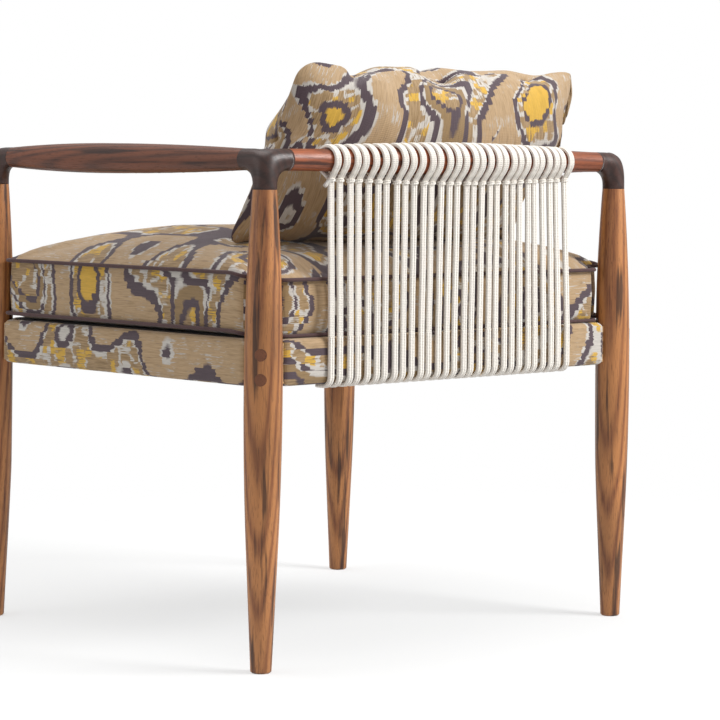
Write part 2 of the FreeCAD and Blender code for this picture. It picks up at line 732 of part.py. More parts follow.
def build_webbing():
    """Straps front to back on the boards, straps side to side over them, and the deck cloth on top."""
    inner_x = f"({SIDE} + apron_out - cover_lip - 1)"
    inner_y = "(leg_spread_y/2 + apron_out - cover_lip - 1)"
    along = []
    for number in range(WEBS_ALONG):
        share = (number + 0.5) / WEBS_ALONG - 0.5
        along.append(box("WebAlong", "webbing_width", f"2*{inner_y}", "webbing_thick",
                         f"(leg_spread_x - 160)*{share:.4f} - webbing_width/2",
                         f"{CENTRING} - {inner_y}", BOARD_TOP))
    across = []
    for number in range(WEBS_ACROSS):
        share = (number + 0.5) / WEBS_ACROSS - 0.5
        across.append(box("WebAcross", f"2*{inner_x}", "webbing_width", "webbing_thick", f"-{inner_x}",
                          f"{CENTRING} + (leg_spread_y - 150)*{share:.4f} - webbing_width/2",
                          f"{BOARD_TOP} + webbing_thick"))
    node(group("WebsAlong", along), "webbing_front_to_back")
    node(group("WebsAcross", across), "webbing_side_to_side")

    build_panel("seat_deck", "deck_thick", f"{APRON_TOP} - deck_thick", inner_x, inner_y)
    build_panel("dust_cover", "dust_thick", f"{BOARD_BOTTOM} - dust_thick", inner_x, inner_y)


def build_panel(name, thickness, level, far_x, far_y):
    """A flat cloth panel between the covers' lips, with its corners cut off clear of the legs."""
    body = add("PartDesign::Body", name)
    outline = new_sketch(body, "PanelOutline")
    near_x = f"({SIDE} - {BOARD_END} - 8)"
    near_y = f"(leg_spread_y/2 - {BOARD_END} - 8)"
    corners = []
    for x_way, y_way in ((1, 1), (-1, 1), (-1, -1), (1, -1)):
        side_point = (f"{x_way}*{far_x}", f"{y_way}*{near_y}")
        end_point = (f"{x_way}*{near_x}", f"{y_way}*{far_y}")
        corners.extend([side_point, end_point] if x_way == y_way else [end_point, side_point])
    draw_outline(outline, corners)
    pad(body, outline, "Panel", thickness)
    place(body, "0", CENTRING, level)
    return node(body, name)


# ---------------------------------------------------------------- cushion, piping and pillow


def notched_corners(inset, back_inset=None):
    """A rectangle whose corners are notched round the legs, drawn inset by formulas."""
    far_x = f"({SIDE} + seat_out - ({inset}))"
    near_x = f"({SIDE} - {SEAT_NOTCH} - ({inset}))"
    corners = []
    for x_way, y_way in ((1, 1), (-1, 1), (-1, -1), (1, -1)):
        reach = "seat_back_out" if y_way > 0 else "seat_out"
        shrink = back_inset if y_way > 0 and back_inset else inset
        far_y = f"(leg_spread_y/2 + {reach} - ({shrink}))"
        near_y = f"(leg_spread_y/2 - {SEAT_NOTCH} - ({shrink}))"
        three = [(f"{x_way}*{far_x}", f"{y_way}*{near_y}"), (f"{x_way}*{near_x}", f"{y_way}*{near_y}"),
                 (f"{x_way}*{near_x}", f"{y_way}*{far_y}")]
        corners.extend(three if x_way == y_way else reversed(three))
    return corners


def build_seat_cushion():
    """The box cushion: an upright side between its two seams, a shallow belly below, and a crown above
    that falls away early at the back, where the pillow presses on it."""
    body = add("PartDesign::Body", "seat_cushion")
    levels = [
        (f"{APRON_TOP} + rest_gap", "belly_inset", "belly_inset"),
        (SEAM_LOW, "0", "0"),
        (SEAM_HIGH, "0", "0"),
        (f"{SEAM_HIGH} + shoulder_rise", "shoulder_inset", "shoulder_inset_back"),
        (SEAT_CROWN, "crown_inset", "crown_inset_back"),
    ]
    sketches = []
    for level, inset, back_inset in levels:
        sketch = new_sketch(body, "CushionSection", height=level)
        draw_outline(sketch, notched_corners(inset, back_inset))
        sketches.append(sketch)
    form = body.newObject("PartDesign::AdditiveLoft", "CushionForm")
    form.Profile = sketches[0]
    form.Sections = sketches[1:]
    form.Ruled = True
    place(body, "0", CENTRING, "0")
    return node(body, "seat_cushion")


def build_piping(name, level):
    """A corded welt laid round the cushion's seam: a round bead swept along the notched outline."""
    outline = [Vector(amount_of(x), amount_of(y), 0) for x, y in notched_corners("-piping_dia/2 - glue_gap")]
    middle = (outline[0] + outline[-1]) * 0.5
    wire = Part.makePolygon([middle] + outline + [middle])
    tangent = outline[0] - middle
    ring = Part.Wire(Part.makeCircle(amount_of("piping_dia") / 2, middle, tangent))
    shape = wire.makePipeShell([ring], True, False, 1)
    thing = add("Part::Feature", name)
    thing.Shape = shape
    thing.Placement = Placement(Vector(0, amount_of(CENTRING), amount_of(level)), Rotation())
    return node(thing, name)


# How far the pillow's flat faces stay inside its seam, as a share of its height.
FACE_INSET = 0.34


def build_pillow():
    """A knife-edge pillow leaning back against the cords: flat faces and a thin seam all round."""
    body = add("PartDesign::Body", "back_pillow")
    stations = [("-pillow_thick/2", FACE_INSET), ("-pillow_thick*0.3", 0.16), ("0", 0.0),
                ("pillow_thick*0.3", 0.16), ("pillow_thick/2", FACE_INSET)]
    sketches = []
    for depth, inset in stations:
        sketch = new_sketch(body, "PillowSection", height=depth)
        half_width = f"(pillow_width/2 - pillow_height*{inset})"
        half_height = f"(pillow_height/2 - pillow_height*{inset})"
        draw_outline(sketch, [(f"{x_way}*{half_width}", f"{y_way}*{half_height}")
                              for x_way, y_way in ((1, 1), (-1, 1), (-1, -1), (1, -1))])
        sketches.append(sketch)
    form = body.newObject("PartDesign::AdditiveLoft", "PillowForm")
    form.Profile = sketches[0]
    form.Sections = sketches[1:]
    form.Ruled = True
    lean = pillow_lean()
    place(body, "pillow_side", f"{REAR} - pillow_foot_back + pillow_height/2*sin({lean})",
          f"{SEAT_CROWN} - pillow_foot_drop + pillow_height/2*cos({lean})", Rotation(Vector(1, 0, 0), 65))
    bind(body, Placement__Rotation__Angle=f"90 deg - {lean}")
    return node(body, "back_pillow")


def pillow_lean():
    """The lean at which the pillow, standing on its foot, rests the outer ends of its flat back on the cords
    wound round the rail."""
    touch = f"(abs(pillow_side) + pillow_width/2 - pillow_height*{FACE_INSET})"
    swell = f"(pow(cos({touch}/({SIDE} - joint_reach_rear)*90); 2))"
    wound = f"(limb_dia/2 + (rail_belly_dia - limb_dia)/2*{swell} + {TURN_PLAY} + cord_dia)"
    clear = f"(pillow_thick/2 + {wound} + pillow_gap)"
    back = f"(pillow_foot_back + rail_bow*{swell})"
    rise = f"({ARM_HEIGHT} - {SEAT_CROWN} + pillow_foot_drop)"
    return f"(acos({clear}/sqrt({back}*{back} + {rise}*{rise})) - atan({rise}/{back}))"


# ---------------------------------------------------------------- cords


def cord_station(number):
    """The x at which a doubled cord crosses the rail; hand winding makes the pitch wander a little."""
    wander = amount_of("cord_wander") * math.sin(2.4 * number)
    return amount_of("cord_first") - number * amount_of("cord_pitch") + wander


def cord_route(x):
    """Places of the cord at x: rail centre, radius of its turn, knot, and where it meets the seat's rear."""
    half = amount_of(f"{SIDE} - joint_reach_rear")
    swell = rail_swell(x / half)
    radius = amount_of("limb_dia") / 2 + amount_of("rail_belly_dia - limb_dia") / 2 * swell
    centre = Vector(x, amount_of(REAR) + amount_of("rail_bow") * swell, amount_of(ARM_HEIGHT))
    turn = radius + amount_of(f"cord_dia/2 + {TURN_PLAY}")
    below = turn + amount_of("cord_dia/2 + knot_drop + knot_height/2")
    knot = centre + Vector(0, amount_of("knot_back"), -below)
    fan = amount_of("cord_fan") * max(0.0, x / amount_of("cord_first"))
    landing = Vector(x + fan, amount_of(f"{REAR} + apron_out + cord_dia/2 + cord_gap"),
                     amount_of(APRON_TOP))
    return centre, turn, knot, landing


def build_cords():
    """Each doubled cord goes round the rail, is drawn together by a knot under it, runs down to the seat's
    rear, lies on it and turns in under its bottom edge. Turns, knots, runs and tails are separate nodes."""
    turns = []
    uprights = []
    knots = []
    tails = []
    thick = amount_of("cord_dia")
    half_pair = thick / 2 + amount_of("cord_gap") / 4
    knot_height = amount_of("knot_height")
    knot_ring = (amount_of("knot_width") - knot_height) / 2
    for number in range(CORD_PAIRS):
        centre, turn, knot, landing = cord_route(cord_station(number))
        for aside in (Vector(-half_pair, 0, 0), Vector(half_pair, 0, 0)):
            turns.append(Part.makeTorus(turn, thick / 2, centre + aside, Vector(1, 0, 0)))
            top = knot + aside - Vector(0, 0, knot_height / 2 + amount_of("cord_gap"))
            run = landing + aside - top
            uprights.append(Part.makeCylinder(thick / 2, run.Length, top, run))
            tails.append(tail_solid(landing + aside, thick))
        knots.append(Part.makeTorus(knot_ring, knot_height / 2, knot, UP))
    for label, solids in (("cord_turns", turns), ("cord_uprights", uprights), ("cord_knots", knots),
                          ("cord_tails", tails)):
        thing = add("Part::Feature", label)
        thing.Shape = Part.makeCompound(solids)
        thing.Placement = Placement()
        node(thing, label)


def tail_solid(landing, thick):
    """The run down the seat's rear face, the turn under its bottom edge and a short straight end."""
    foot = Vector(landing.x, landing.y, amount_of("apron_bottom"))
    turn = thick / 2 + amount_of("cord_gap")
    under = foot + Vector(0, -turn, -turn)
    between = foot + Vector(0, -turn * (1 - math.sqrt(0.5)), -turn * math.sqrt(0.5))
    end = under - Vector(0, amount_of("tail_length"), 0)
    start = landing - Vector(0, 0, amount_of("cord_gap"))
    path = Part.Wire([Part.makeLine(start, foot), Part.Arc(foot, between, under).toShape(),
                      Part.makeLine(under, end)])
    ring = Part.Wire(Part.makeCircle(thick / 2, start, Vector(0, 0, -1)))
    return path.makePipeShell([ring], True, True)


def export_nodes():
    document.recompute()
    failed = [thing.Label for thing in document.Objects if {"Invalid", "Error"} & set(thing.State)]
    if failed:
        raise RuntimeError(f"objects that did not recompute: {failed}")
    for label, thing in nodes.items():
        if thing.Shape.isNull() or not thing.Shape.isValid() or not thing.Shape.Solids:
            raise RuntimeError(f"{label} is empty or not valid")
    os.makedirs("parts", exist_ok=True)
    for label, thing in nodes.items():
        thing.Shape.exportStep(f"parts/{label}.step")
        print(label, len(thing.Shape.Solids), round(thing.Shape.Volume / 1000, 2), "cm3")


for corner_name, (corner_side, corner_end) in CORNERS.items():
    build_leg(corner_name, corner_side, corner_end)
build_front_joints()
build_rear_joints()
build_arm("arm_left", 1)
build_arm("arm_right", -1)
build_back_rail()
build_dowels()
build_seat_frame()
build_bolts()
build_covers()
build_webbing()
build_seat_cushion()
build_piping("seat_piping_bottom", SEAM_LOW)
build_piping("seat_piping_top", SEAM_HIGH)
build_pillow()
build_cords()
export_nodes()
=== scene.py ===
"""The finished look of the spindle armchair: upholstery, cords and wood finishes round the fixed frame."""
import math

import bmesh
import bpy
from bpy.props import FloatProperty, FloatVectorProperty, IntProperty, PointerProperty
from mathutils import Matrix, Vector, noise
from mathutils.bvhtree import BVHTree


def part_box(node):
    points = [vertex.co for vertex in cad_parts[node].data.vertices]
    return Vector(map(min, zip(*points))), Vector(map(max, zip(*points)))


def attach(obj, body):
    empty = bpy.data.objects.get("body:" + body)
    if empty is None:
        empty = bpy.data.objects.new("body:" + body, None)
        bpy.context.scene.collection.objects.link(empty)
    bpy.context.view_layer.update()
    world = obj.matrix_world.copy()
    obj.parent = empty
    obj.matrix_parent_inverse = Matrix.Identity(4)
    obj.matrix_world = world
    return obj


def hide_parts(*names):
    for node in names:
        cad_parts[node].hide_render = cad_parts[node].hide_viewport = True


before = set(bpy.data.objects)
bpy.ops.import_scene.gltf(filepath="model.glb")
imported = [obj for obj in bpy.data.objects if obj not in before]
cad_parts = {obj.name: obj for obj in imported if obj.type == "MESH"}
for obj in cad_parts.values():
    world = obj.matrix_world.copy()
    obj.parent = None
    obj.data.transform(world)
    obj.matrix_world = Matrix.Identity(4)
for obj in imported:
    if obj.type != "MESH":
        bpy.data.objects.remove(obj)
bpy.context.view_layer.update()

bl_info = {
    "name": "Spindle armchair",
    "version": (1, 0, 0),
    "blender": (4, 5, 0),
    "location": "View3D > Sidebar > Armchair",
    "description": "Builds the upholstery, cords and finishes of a spindle armchair",
    "category": "Object",
}

MM = 0.001
UP = Vector((0.0, 0.0, 1.0))


def middle_of(node_name):
    low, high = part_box(node_name)
    return (low + high) / 2


SIDE = middle_of("leg_rear_left").x
REAR = middle_of("leg_rear_left").y
FRONT = middle_of("leg_front_left").y
RAIL_LEVEL = middle_of("back_rail").z
RAIL_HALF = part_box("back_rail")[1].x
RAIL_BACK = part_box("back_rail")[1].y
APRON_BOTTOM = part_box("seat_cover_rear")[0].z
APRON_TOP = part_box("seat_cover_rear")[1].z
APRON_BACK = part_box("seat_cover_rear")[1].y
SEAM_LOW = middle_of("seat_piping_bottom").z
SEAM_HIGH = middle_of("seat_piping_top").z
CUSHION_LOW, CUSHION_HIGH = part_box("seat_cushion")
SEAT_BODY = "seat_cushion"
PILLOW_BODY = "back_pillow"

FULL_TURN = 6.283
WARP_PITCH = 1.3 * MM
WEFT_PITCH = 1.9 * MM
# The camera's place in metres, the way it looks, its roll, its lens in mm and its vertical shift.
CAMERA_PLACE = Vector((2.49125, 2.731695, 0.62366))
CAMERA_WAY = Vector((-0.6873, -0.7264, 0.0))
CAMERA_ROLL = math.radians(0.477)
CAMERA_LENS = 135.49
CAMERA_SHIFT = -0.2798


def tint(red, green, blue):
    """A display colour, given as 0 to 255, as the linear colour that Blender keeps."""
    parts = [value / 255 for value in (red, green, blue)]
    return tuple(p / 12.92 if p <= 0.04045 else ((p + 0.055) / 1.055) ** 2.4 for p in parts) + (1.0,)


def length(name, description, default):
    return FloatProperty(name=name, description=description, default=default, min=0.0, unit="LENGTH",
                         subtype="DISTANCE", precision=4)


def colour(name, description, default):
    return FloatVectorProperty(name=name, description=description, default=default, size=4, min=0.0,
                               max=1.0, subtype="COLOR")


class ArmchairCordSizes(bpy.types.PropertyGroup):
    """Sizes of the cords wound over the back rail."""
    thickness: length("Strand thickness", "Diameter of one strand of cord", 5.4 * MM)
    spacing: length("Strand spacing", "Distance between the two strands of a cord", 4.0 * MM)
    spread: length("Spread on the rail", "Distance between the two strands on the rail", 4.6 * MM)
    play: length("Play", "Room left between a strand and what it lies on", 0.2 * MM)
    pairs: IntProperty(name="Pairs", description="Number of doubled cords", default=29, min=1)
    first: length("First cord", "Distance of the first cord from the chair's middle", 215 * MM)
    pitch: length("Pitch", "Spacing of the doubled cords", 15.2 * MM)
    wander: length("Wander", "How far hand winding moves a cord aside", 1.3 * MM)
    fan: length("Fan", "How far the outer cords spread on their way down", 4 * MM)
    knot_drop: length("Knot drop", "Distance of a knot below the turn's centre line", 7.5 * MM)
    knot_width: length("Knot width", "Width of a knot across its cord", 12.2 * MM)
    knot_height: length("Knot height", "Height of a knot along its cord", 5.8 * MM)
    loose_end: length("Loose end", "Length of the loose end left at the first knot", 13 * MM)
    knot_back: length("Knot set-back", "Distance of a knot behind the rail's axis", 4 * MM)
    tail: length("Tail", "Length of cord turned in under the seat", 12 * MM)
    limb_radius: length("Rail end radius", "Radius of the rail at its ends", 13.5 * MM)
    belly_radius: length("Rail belly radius", "Radius of the rail at its middle", 18.5 * MM)


class ArmchairSeatSizes(bpy.types.PropertyGroup):
    """Sizes of the seat's coverings, the cushion and the pillow."""
    cover_round: length("Cover rounding", "Radius of the padded edges of the seat's covers", 9 * MM)
    cover_skin: length("Cover thickness", "Thickness of the padded covers", 2.6 * MM)
    notch: length("Notch", "Distance of the cushion's notch from the leg's axis", 30 * MM)
    corner: length("Corner rounding", "Radius of the cushion's corners in plan", 11 * MM)
    piping: length("Piping", "Diameter of the piping along the cushion's seams", 5 * MM)
    crown_rise: length("Crown rise", "Height of the cushion's crown above its upper seam", 44 * MM)
    swell: length("Swell", "How far the stuffing may push the cushion's top out", 8 * MM)
    rear_dip: length("Rear dip", "How far the cushion's upper seam sinks at the rear", 8.5 * MM)
    rear_dip_low: length("Lower rear dip", "How far the cushion's lower seam sinks at the rear", 6.3 * MM)
    pillow_width: length("Pillow width", "Width of the filled pillow", 516 * MM)
    pillow_height: length("Pillow height", "Height of the filled pillow", 254 * MM)
    pillow_thick: length("Pillow thickness", "Thickness of the filled pillow", 146 * MM)
    pillow_aside: length("Pillow aside", "How far the filled pillow has slipped aside", 5 * MM)
    pillow_slant: FloatProperty(name="Pillow slant", description="Sideways slant of the pillow's ends",
                                default=0.12)
    pillow_lean: FloatProperty(name="Pillow lean", description="Angle of the pillow from upright",
                               default=math.radians(25), subtype="ANGLE", unit="ROTATION")


class ArmchairColours(bpy.types.PropertyGroup):
    """Colours of the woods, the tapestry and the cords."""
    leg_light: colour("Leg, light", "Light wood of the legs", tint(190, 127, 75))
    leg_dark: colour("Leg, dark", "Dark growth bands of the legs", tint(118, 66, 38))
    arm_light: colour("Arm, light", "Light wood of the arms", tint(122, 68, 42))
    arm_dark: colour("Arm, dark", "Dark growth bands of the arms", tint(72, 38, 25))
    rail_light: colour("Rail, light", "Light wood of the back rail", tint(158, 84, 48))
    rail_dark: colour("Rail, dark", "Dark growth bands of the back rail", tint(116, 56, 31))
    joint_light: colour("Joint, light", "Light wood of the corner joints", tint(66, 38, 30))
    joint_dark: colour("Joint, dark", "Dark wood of the corner joints", tint(40, 22, 17))
    vein: colour("Vein", "Dark veins in the wood", tint(44, 21, 14))
    ground: colour("Tapestry ground", "Tan ground of the tapestry", tint(188, 159, 124))
    patch: colour("Tapestry patch", "Khaki patches of the tapestry", tint(146, 120, 84))
    line: colour("Tapestry line", "Dark outlines of the tapestry", tint(84, 70, 76))
    streak: colour("Tapestry streak", "Pale grey lines beside the outlines", tint(198, 192, 184))
    spot: colour("Tapestry spot", "Mustard spots of the tapestry", tint(206, 164, 66))
    piping: colour("Piping", "Cloth of the piping", tint(78, 52, 52))
    cord: colour("Cord", "Braided cotton cord", tint(246, 240, 231))


def cords():
    return bpy.context.scene.armchair_cords


def seat():
    return bpy.context.scene.armchair_seat


def colours():
    return bpy.context.scene.armchair_colours


# ------------------------------------------------------------------ nodes


def add_node(tree, kind, inputs=None, **settings):
    """A node with its settings, and with each input either linked to a socket or set to a value."""
    made = tree.nodes.new(kind)
    for name, value in settings.items():
        setattr(made, name, value)
    for name, value in (inputs or {}).items():
        if isinstance(value, bpy.types.NodeSocket):
            tree.links.new(value, made.inputs[name])
        else:
            made.inputs[name].default_value = value
    return made


def calculate(tree, operation, first, second=0.0, third=0.0):
    return add_node(tree, "ShaderNodeMath", {0: first, 1: second, 2: third}, operation=operation).outputs[0]


def blend_colours(tree, share, first, second):
    return add_node(tree, "ShaderNodeMix", {0: share, 6: first, 7: second}, data_type="RGBA").outputs[2]


def stretch(tree, vector, scale):
    return add_node(tree, "ShaderNodeVectorMath", {0: vector, 1: scale}, operation="MULTIPLY").outputs[0]


def clouds(tree, vector, scale, detail=2.0):
    made = add_node(tree, "ShaderNodeTexNoise", {"Vector": vector, "Scale": scale, "Detail": detail})
    return made.outputs["Fac"]


def remap(tree, value, low, high, to_low=0.0, to_high=1.0):
    inputs = {"Value": value, "From Min": low, "From Max": high, "To Min": to_low, "To Max": to_high}
    return add_node(tree, "ShaderNodeMapRange", inputs).outputs["Result"]


def new_group(name, inputs, outputs):
    """An empty shader group, with its inputs and outputs given as {name: kind of socket}."""
    tree = bpy.data.node_groups.new(name, "ShaderNodeTree")
    for word, kind in inputs.items():
        tree.interface.new_socket(name=word, in_out="INPUT", socket_type="NodeSocket" + kind)
    for word, kind in outputs.items():
        tree.interface.new_socket(name=word, in_out="OUTPUT", socket_type="NodeSocket" + kind)
    entry = tree.nodes.new("NodeGroupInput").outputs
    result = tree.nodes.new("NodeGroupOutput").inputs
    return tree, entry, result


def wood_figure():
    """Growth bands, veins and pores of wood whose grain runs along Z."""
    made = bpy.data.node_groups.get("Wood figure")
    if made:
        return made
    tree, entry, result = new_group(
        "Wood figure",
        {"Vector": "Vector", "Light": "Color", "Dark": "Color", "Vein": "Color", "Band Width": "Float",
         "Figure": "Float"},
        {"Color": "Color", "Roughness": "Float", "Height": "Float"})
    place = entry["Vector"]
    across = add_node(tree, "ShaderNodeVectorMath", {0: place, 1: (0.83, 0.56, 0.05)},
                      operation="DOT_PRODUCT").outputs["Value"]
    turns = calculate(tree, "DIVIDE", across, entry["Band Width"])
    drift = clouds(tree, stretch(tree, place, (1.0, 1.0, 0.22)), 16.0, 2.0)
    phase = calculate(tree, "MULTIPLY_ADD", drift, entry["Figure"],
                      calculate(tree, "MULTIPLY", turns, FULL_TURN))
    bands = calculate(tree, "MULTIPLY_ADD", calculate(tree, "SINE", phase), 0.5, 0.5)
    fibre = clouds(tree, stretch(tree, place, (1.0, 1.0, 0.03)), 420.0, 3.0)
    band_share = calculate(tree, "MULTIPLY", calculate(tree, "POWER", bands, 2.0),
                           remap(tree, fibre, 0.3, 0.7, 0.45, 1.0))
    wood = blend_colours(tree, band_share, entry["Light"], entry["Dark"])
    veins = remap(tree, clouds(tree, stretch(tree, place, (1.0, 1.0, 0.05)), 105.0, 3.0), 0.55, 0.64)
    wood = blend_colours(tree, calculate(tree, "MULTIPLY", veins, 0.80), wood, entry["Vein"])
    pores = remap(tree, clouds(tree, stretch(tree, place, (1.0, 1.0, 0.035)), 1500.0, 1.0), 0.60, 0.66)
    wood = blend_colours(tree, calculate(tree, "MULTIPLY", pores, 0.45), wood, entry["Vein"])
    broad = remap(tree, clouds(tree, place, 7.0, 1.0), 0.3, 0.7, 0.78, 1.16)
    shade = add_node(tree, "ShaderNodeHueSaturation", {"Color": wood, "Value": broad}).outputs["Color"]
    tree.links.new(shade, result["Color"])
    tree.links.new(calculate(tree, "MULTIPLY_ADD", pores, 0.2, remap(tree, fibre, 0.3, 0.7, 0.34, 0.46)),
                   result["Roughness"])
    tree.links.new(calculate(tree, "SUBTRACT", fibre, pores), result["Height"])
    return tree


def tapestry_weave():
    """A hand-woven tapestry: stepped outlines with pale lines beside them, patches and small medallions.
    The vector is a place on the cloth in metres, with the weft threads running along its Y."""
    made = bpy.data.node_groups.get("Tapestry weave")
    if made:
        return made
    tree, entry, result = new_group(
        "Tapestry weave",
        {"Vector": "Vector", "Ground": "Color", "Patch": "Color", "Line": "Color", "Streak": "Color",
         "Spot": "Color"},
        {"Color": "Color", "Height": "Float"})
    parts = add_node(tree, "ShaderNodeSeparateXYZ", {0: entry["Vector"]}).outputs
    thread = calculate(tree, "FLOOR", calculate(tree, "DIVIDE", parts["X"], WARP_PITCH))
    jitter = add_node(tree, "ShaderNodeTexWhiteNoise", {"W": thread}, noise_dimensions="1D").outputs["Value"]
    ragged = calculate(tree, "MULTIPLY_ADD", jitter, 0.0028, parts["Y"])

    def stepped(value, step, share):
        snapped = calculate(tree, "SNAP", value, step)
        return calculate(tree, "MULTIPLY_ADD", calculate(tree, "SUBTRACT", snapped, value), share, value)

    steps = add_node(tree, "ShaderNodeCombineXYZ",
                     {0: stepped(parts["X"], 0.009, 0.6), 1: stepped(ragged, 0.008, 0.6),
                      2: parts["Z"]}).outputs[0]
    field = clouds(tree, steps, 6.0, 0.8)
    fine = stretch(tree, entry["Vector"], (1.0, 0.07, 1.0))
    slub = clouds(tree, fine, 620.0, 2.0)
    cloudy = clouds(tree, entry["Vector"], 26.0, 2.0)
    ground = blend_colours(tree, remap(tree, slub, 0.40, 0.62, 0.0, 0.65), entry["Ground"], entry["Patch"])
    pale = calculate(tree, "MULTIPLY", remap(tree, slub, 0.56, 0.60), remap(tree, cloudy, 0.50, 0.58))
    cloth = blend_colours(tree, calculate(tree, "MULTIPLY", pale, 0.75), ground, entry["Streak"])
    khaki = blend_colours(tree, remap(tree, slub, 0.40, 0.62, 0.0, 0.5), entry["Patch"], entry["Ground"])
    ridge = calculate(tree, "ABSOLUTE", calculate(tree, "SUBTRACT", clouds(tree, steps, 26.0, 1.0), 0.5))
    net = calculate(tree, "MULTIPLY", remap(tree, ridge, 0.034, 0.022), remap(tree, slub, 0.38, 0.44))
    khaki = blend_colours(tree, net, khaki, entry["Streak"])
    fleck = calculate(tree, "MULTIPLY", remap(tree, clouds(tree, steps, 44.0, 0.5), 0.575, 0.585),
                      remap(tree, slub, 0.40, 0.46))
    khaki = blend_colours(tree, fleck, khaki, entry["Spot"])
    bands = ((0.520, "Line"), (0.550, "Streak"), (0.558, None), (0.622, "Streak"), (0.630, "Line"),
             (0.650, "Streak"), (0.660, "Patch"), (0.686, "Line"), (0.700, None))
    for level, word in bands:
        inside = remap(tree, field, level - 0.0012, level + 0.0012)
        cloth = blend_colours(tree, inside, cloth, entry[word] if word else khaki)
    for level, word in ((0.400, "Streak"), (0.392, "Line"), (0.364, "Streak"), (0.356, None),
                        (0.320, "Line"), (0.302, "Spot")):
        inside = remap(tree, field, level + 0.0012, level - 0.0012)
        cloth = blend_colours(tree, inside, cloth, entry[word] if word else khaki)
    medallion = add_node(tree, "ShaderNodeTexVoronoi", {"Vector": steps, "Scale": 8.0, "Randomness": 0.8},
                         distance="MANHATTAN").outputs["Distance"]
    chosen = calculate(tree, "MULTIPLY", remap(tree, clouds(tree, entry["Vector"], 7.0, 0.0), 0.50, 0.51),
                       remap(tree, field, 0.515, 0.512))
    for level, word in ((0.31, "Streak"), (0.29, "Line"), (0.20, "Streak"), (0.17, None), (0.11, "Spot"),
                        (0.05, "Line")):
        inside = calculate(tree, "MULTIPLY", remap(tree, medallion, level + 0.004, level - 0.004), chosen)
        cloth = blend_colours(tree, inside, cloth, entry[word] if word else khaki)
    speck = calculate(tree, "MULTIPLY", remap(tree, slub, 0.64, 0.68), 0.30)
    cloth = blend_colours(tree, speck, cloth, entry["Line"])
    yarn = calculate(tree, "MULTIPLY_ADD", jitter, 0.10, remap(tree, slub, 0.3, 0.7, 0.84, 1.06))
    shade = add_node(tree, "ShaderNodeHueSaturation", {"Color": cloth, "Value": yarn}).outputs["Color"]
    tree.links.new(shade, result["Color"])
    ribs = calculate(tree, "SINE", calculate(tree, "MULTIPLY", parts["Y"], FULL_TURN / WEFT_PITCH))
    columns = calculate(tree, "SINE", calculate(tree, "MULTIPLY", parts["X"], FULL_TURN / WARP_PITCH))
    relief = calculate(tree, "MULTIPLY_ADD", ribs, 0.25, calculate(tree, "MULTIPLY_ADD", columns, 0.2, slub))
    tree.links.new(relief, result["Height"])
    return tree


def braid_pattern():
    """Strands of a round braid, from a vector that runs along X and round along Y, both in metres: their
    height, and a value that darkens the cotton with random fuzz and with painted shade where the strands
    dip.
    """
    made = bpy.data.node_groups.get("Braid pattern")
    if made:
        return made
    tree, entry, result = new_group(
        "Braid pattern", {"Vector": "Vector", "Pitch": "Float", "Strands": "Float", "Girth": "Float"},
        {"Height": "Float", "Fuzz and Painted Shade": "Float"})
    parts = add_node(tree, "ShaderNodeSeparateXYZ", {0: entry["Vector"]}).outputs
    along = calculate(tree, "DIVIDE", parts["X"], entry["Pitch"])
    round_it = calculate(tree, "MULTIPLY", calculate(tree, "DIVIDE", parts["Y"], entry["Girth"]),
                         entry["Strands"])
    waves = []
    for operation in ("ADD", "SUBTRACT"):
        turns = calculate(tree, operation, along, round_it)
        waves.append(calculate(tree, "SINE", calculate(tree, "MULTIPLY", turns, FULL_TURN)))
    relief = calculate(tree, "MULTIPLY_ADD", calculate(tree, "MULTIPLY", waves[0], waves[1]), 0.5, 0.5)
    tree.links.new(relief, result["Height"])
    # The value for the colour: a little random fuzz in the cotton, plus painted shade that darkens the cord
    # where the braid's relief is low, in the hollows between strands.
    fuzz = clouds(tree, entry["Vector"], 900.0, 2.0)
    tree.links.new(calculate(tree, "MULTIPLY_ADD", fuzz, 0.10, remap(tree, relief, 0.0, 0.6, 0.76, 1.0)),
                   result["Fuzz and Painted Shade"])
    return tree


def new_material(name):
    """A material with an empty tree, its Principled shader and its output."""
    made = bpy.data.materials.new(name)
    made.use_nodes = True
    tree = made.node_tree
    tree.nodes.clear()
    shader = tree.nodes.new("ShaderNodeBsdfPrincipled")
    output = tree.nodes.new("ShaderNodeOutputMaterial")
    tree.links.new(shader.outputs[0], output.inputs["Surface"])
    return made, tree, shader


def relieve(tree, shader, height, strength, distance):
    bump = add_node(tree, "ShaderNodeBump", {"Height": height, "Strength": strength, "Distance": distance})
    tree.links.new(bump.outputs[0], shader.inputs["Normal"])


def place_on_piece(tree, turn=(0.0, 0.0, 0.0), shift=(0.0, 0.0, 0.0)):
    """Object coordinates, turned so that the grain along the piece becomes Z."""
    place = tree.nodes.new("ShaderNodeTexCoord").outputs["Object"]
    inputs = {"Vector": place, "Location": shift, "Rotation": turn}
    return add_node(tree, "ShaderNodeMapping", inputs, vector_type="POINT").outputs[0]


GRAIN_UP = (0.0, 0.0, 0.0)
GRAIN_ALONG_X = (0.0, math.radians(90), 0.0)
GRAIN_ALONG_Y = (math.radians(90), 0.0, 0.0)


def wood_material(name, light, dark, turn=GRAIN_UP, shift=(0.0, 0.0, 0.0), band=0.0075, figure=9.0,
                  gloss=0.12):
    made, tree, shader = new_material(name)
    figure_node = add_node(tree, "ShaderNodeGroup", node_tree=wood_figure())
    tree.links.new(place_on_piece(tree, turn, shift), figure_node.inputs["Vector"])
    figure_node.inputs["Light"].default_value = light
    figure_node.inputs["Dark"].default_value = dark
    figure_node.inputs["Vein"].default_value = colours().vein
    figure_node.inputs["Band Width"].default_value = band
    figure_node.inputs["Figure"].default_value = figure
    tree.links.new(figure_node.outputs["Color"], shader.inputs["Base Color"])
    tree.links.new(figure_node.outputs["Roughness"], shader.inputs["Roughness"])
    relieve(tree, shader, figure_node.outputs["Height"], 0.25, 0.3 * MM)
    shader.inputs["Coat Weight"].default_value = gloss
    shader.inputs["Coat Roughness"].default_value = 0.28
    return made


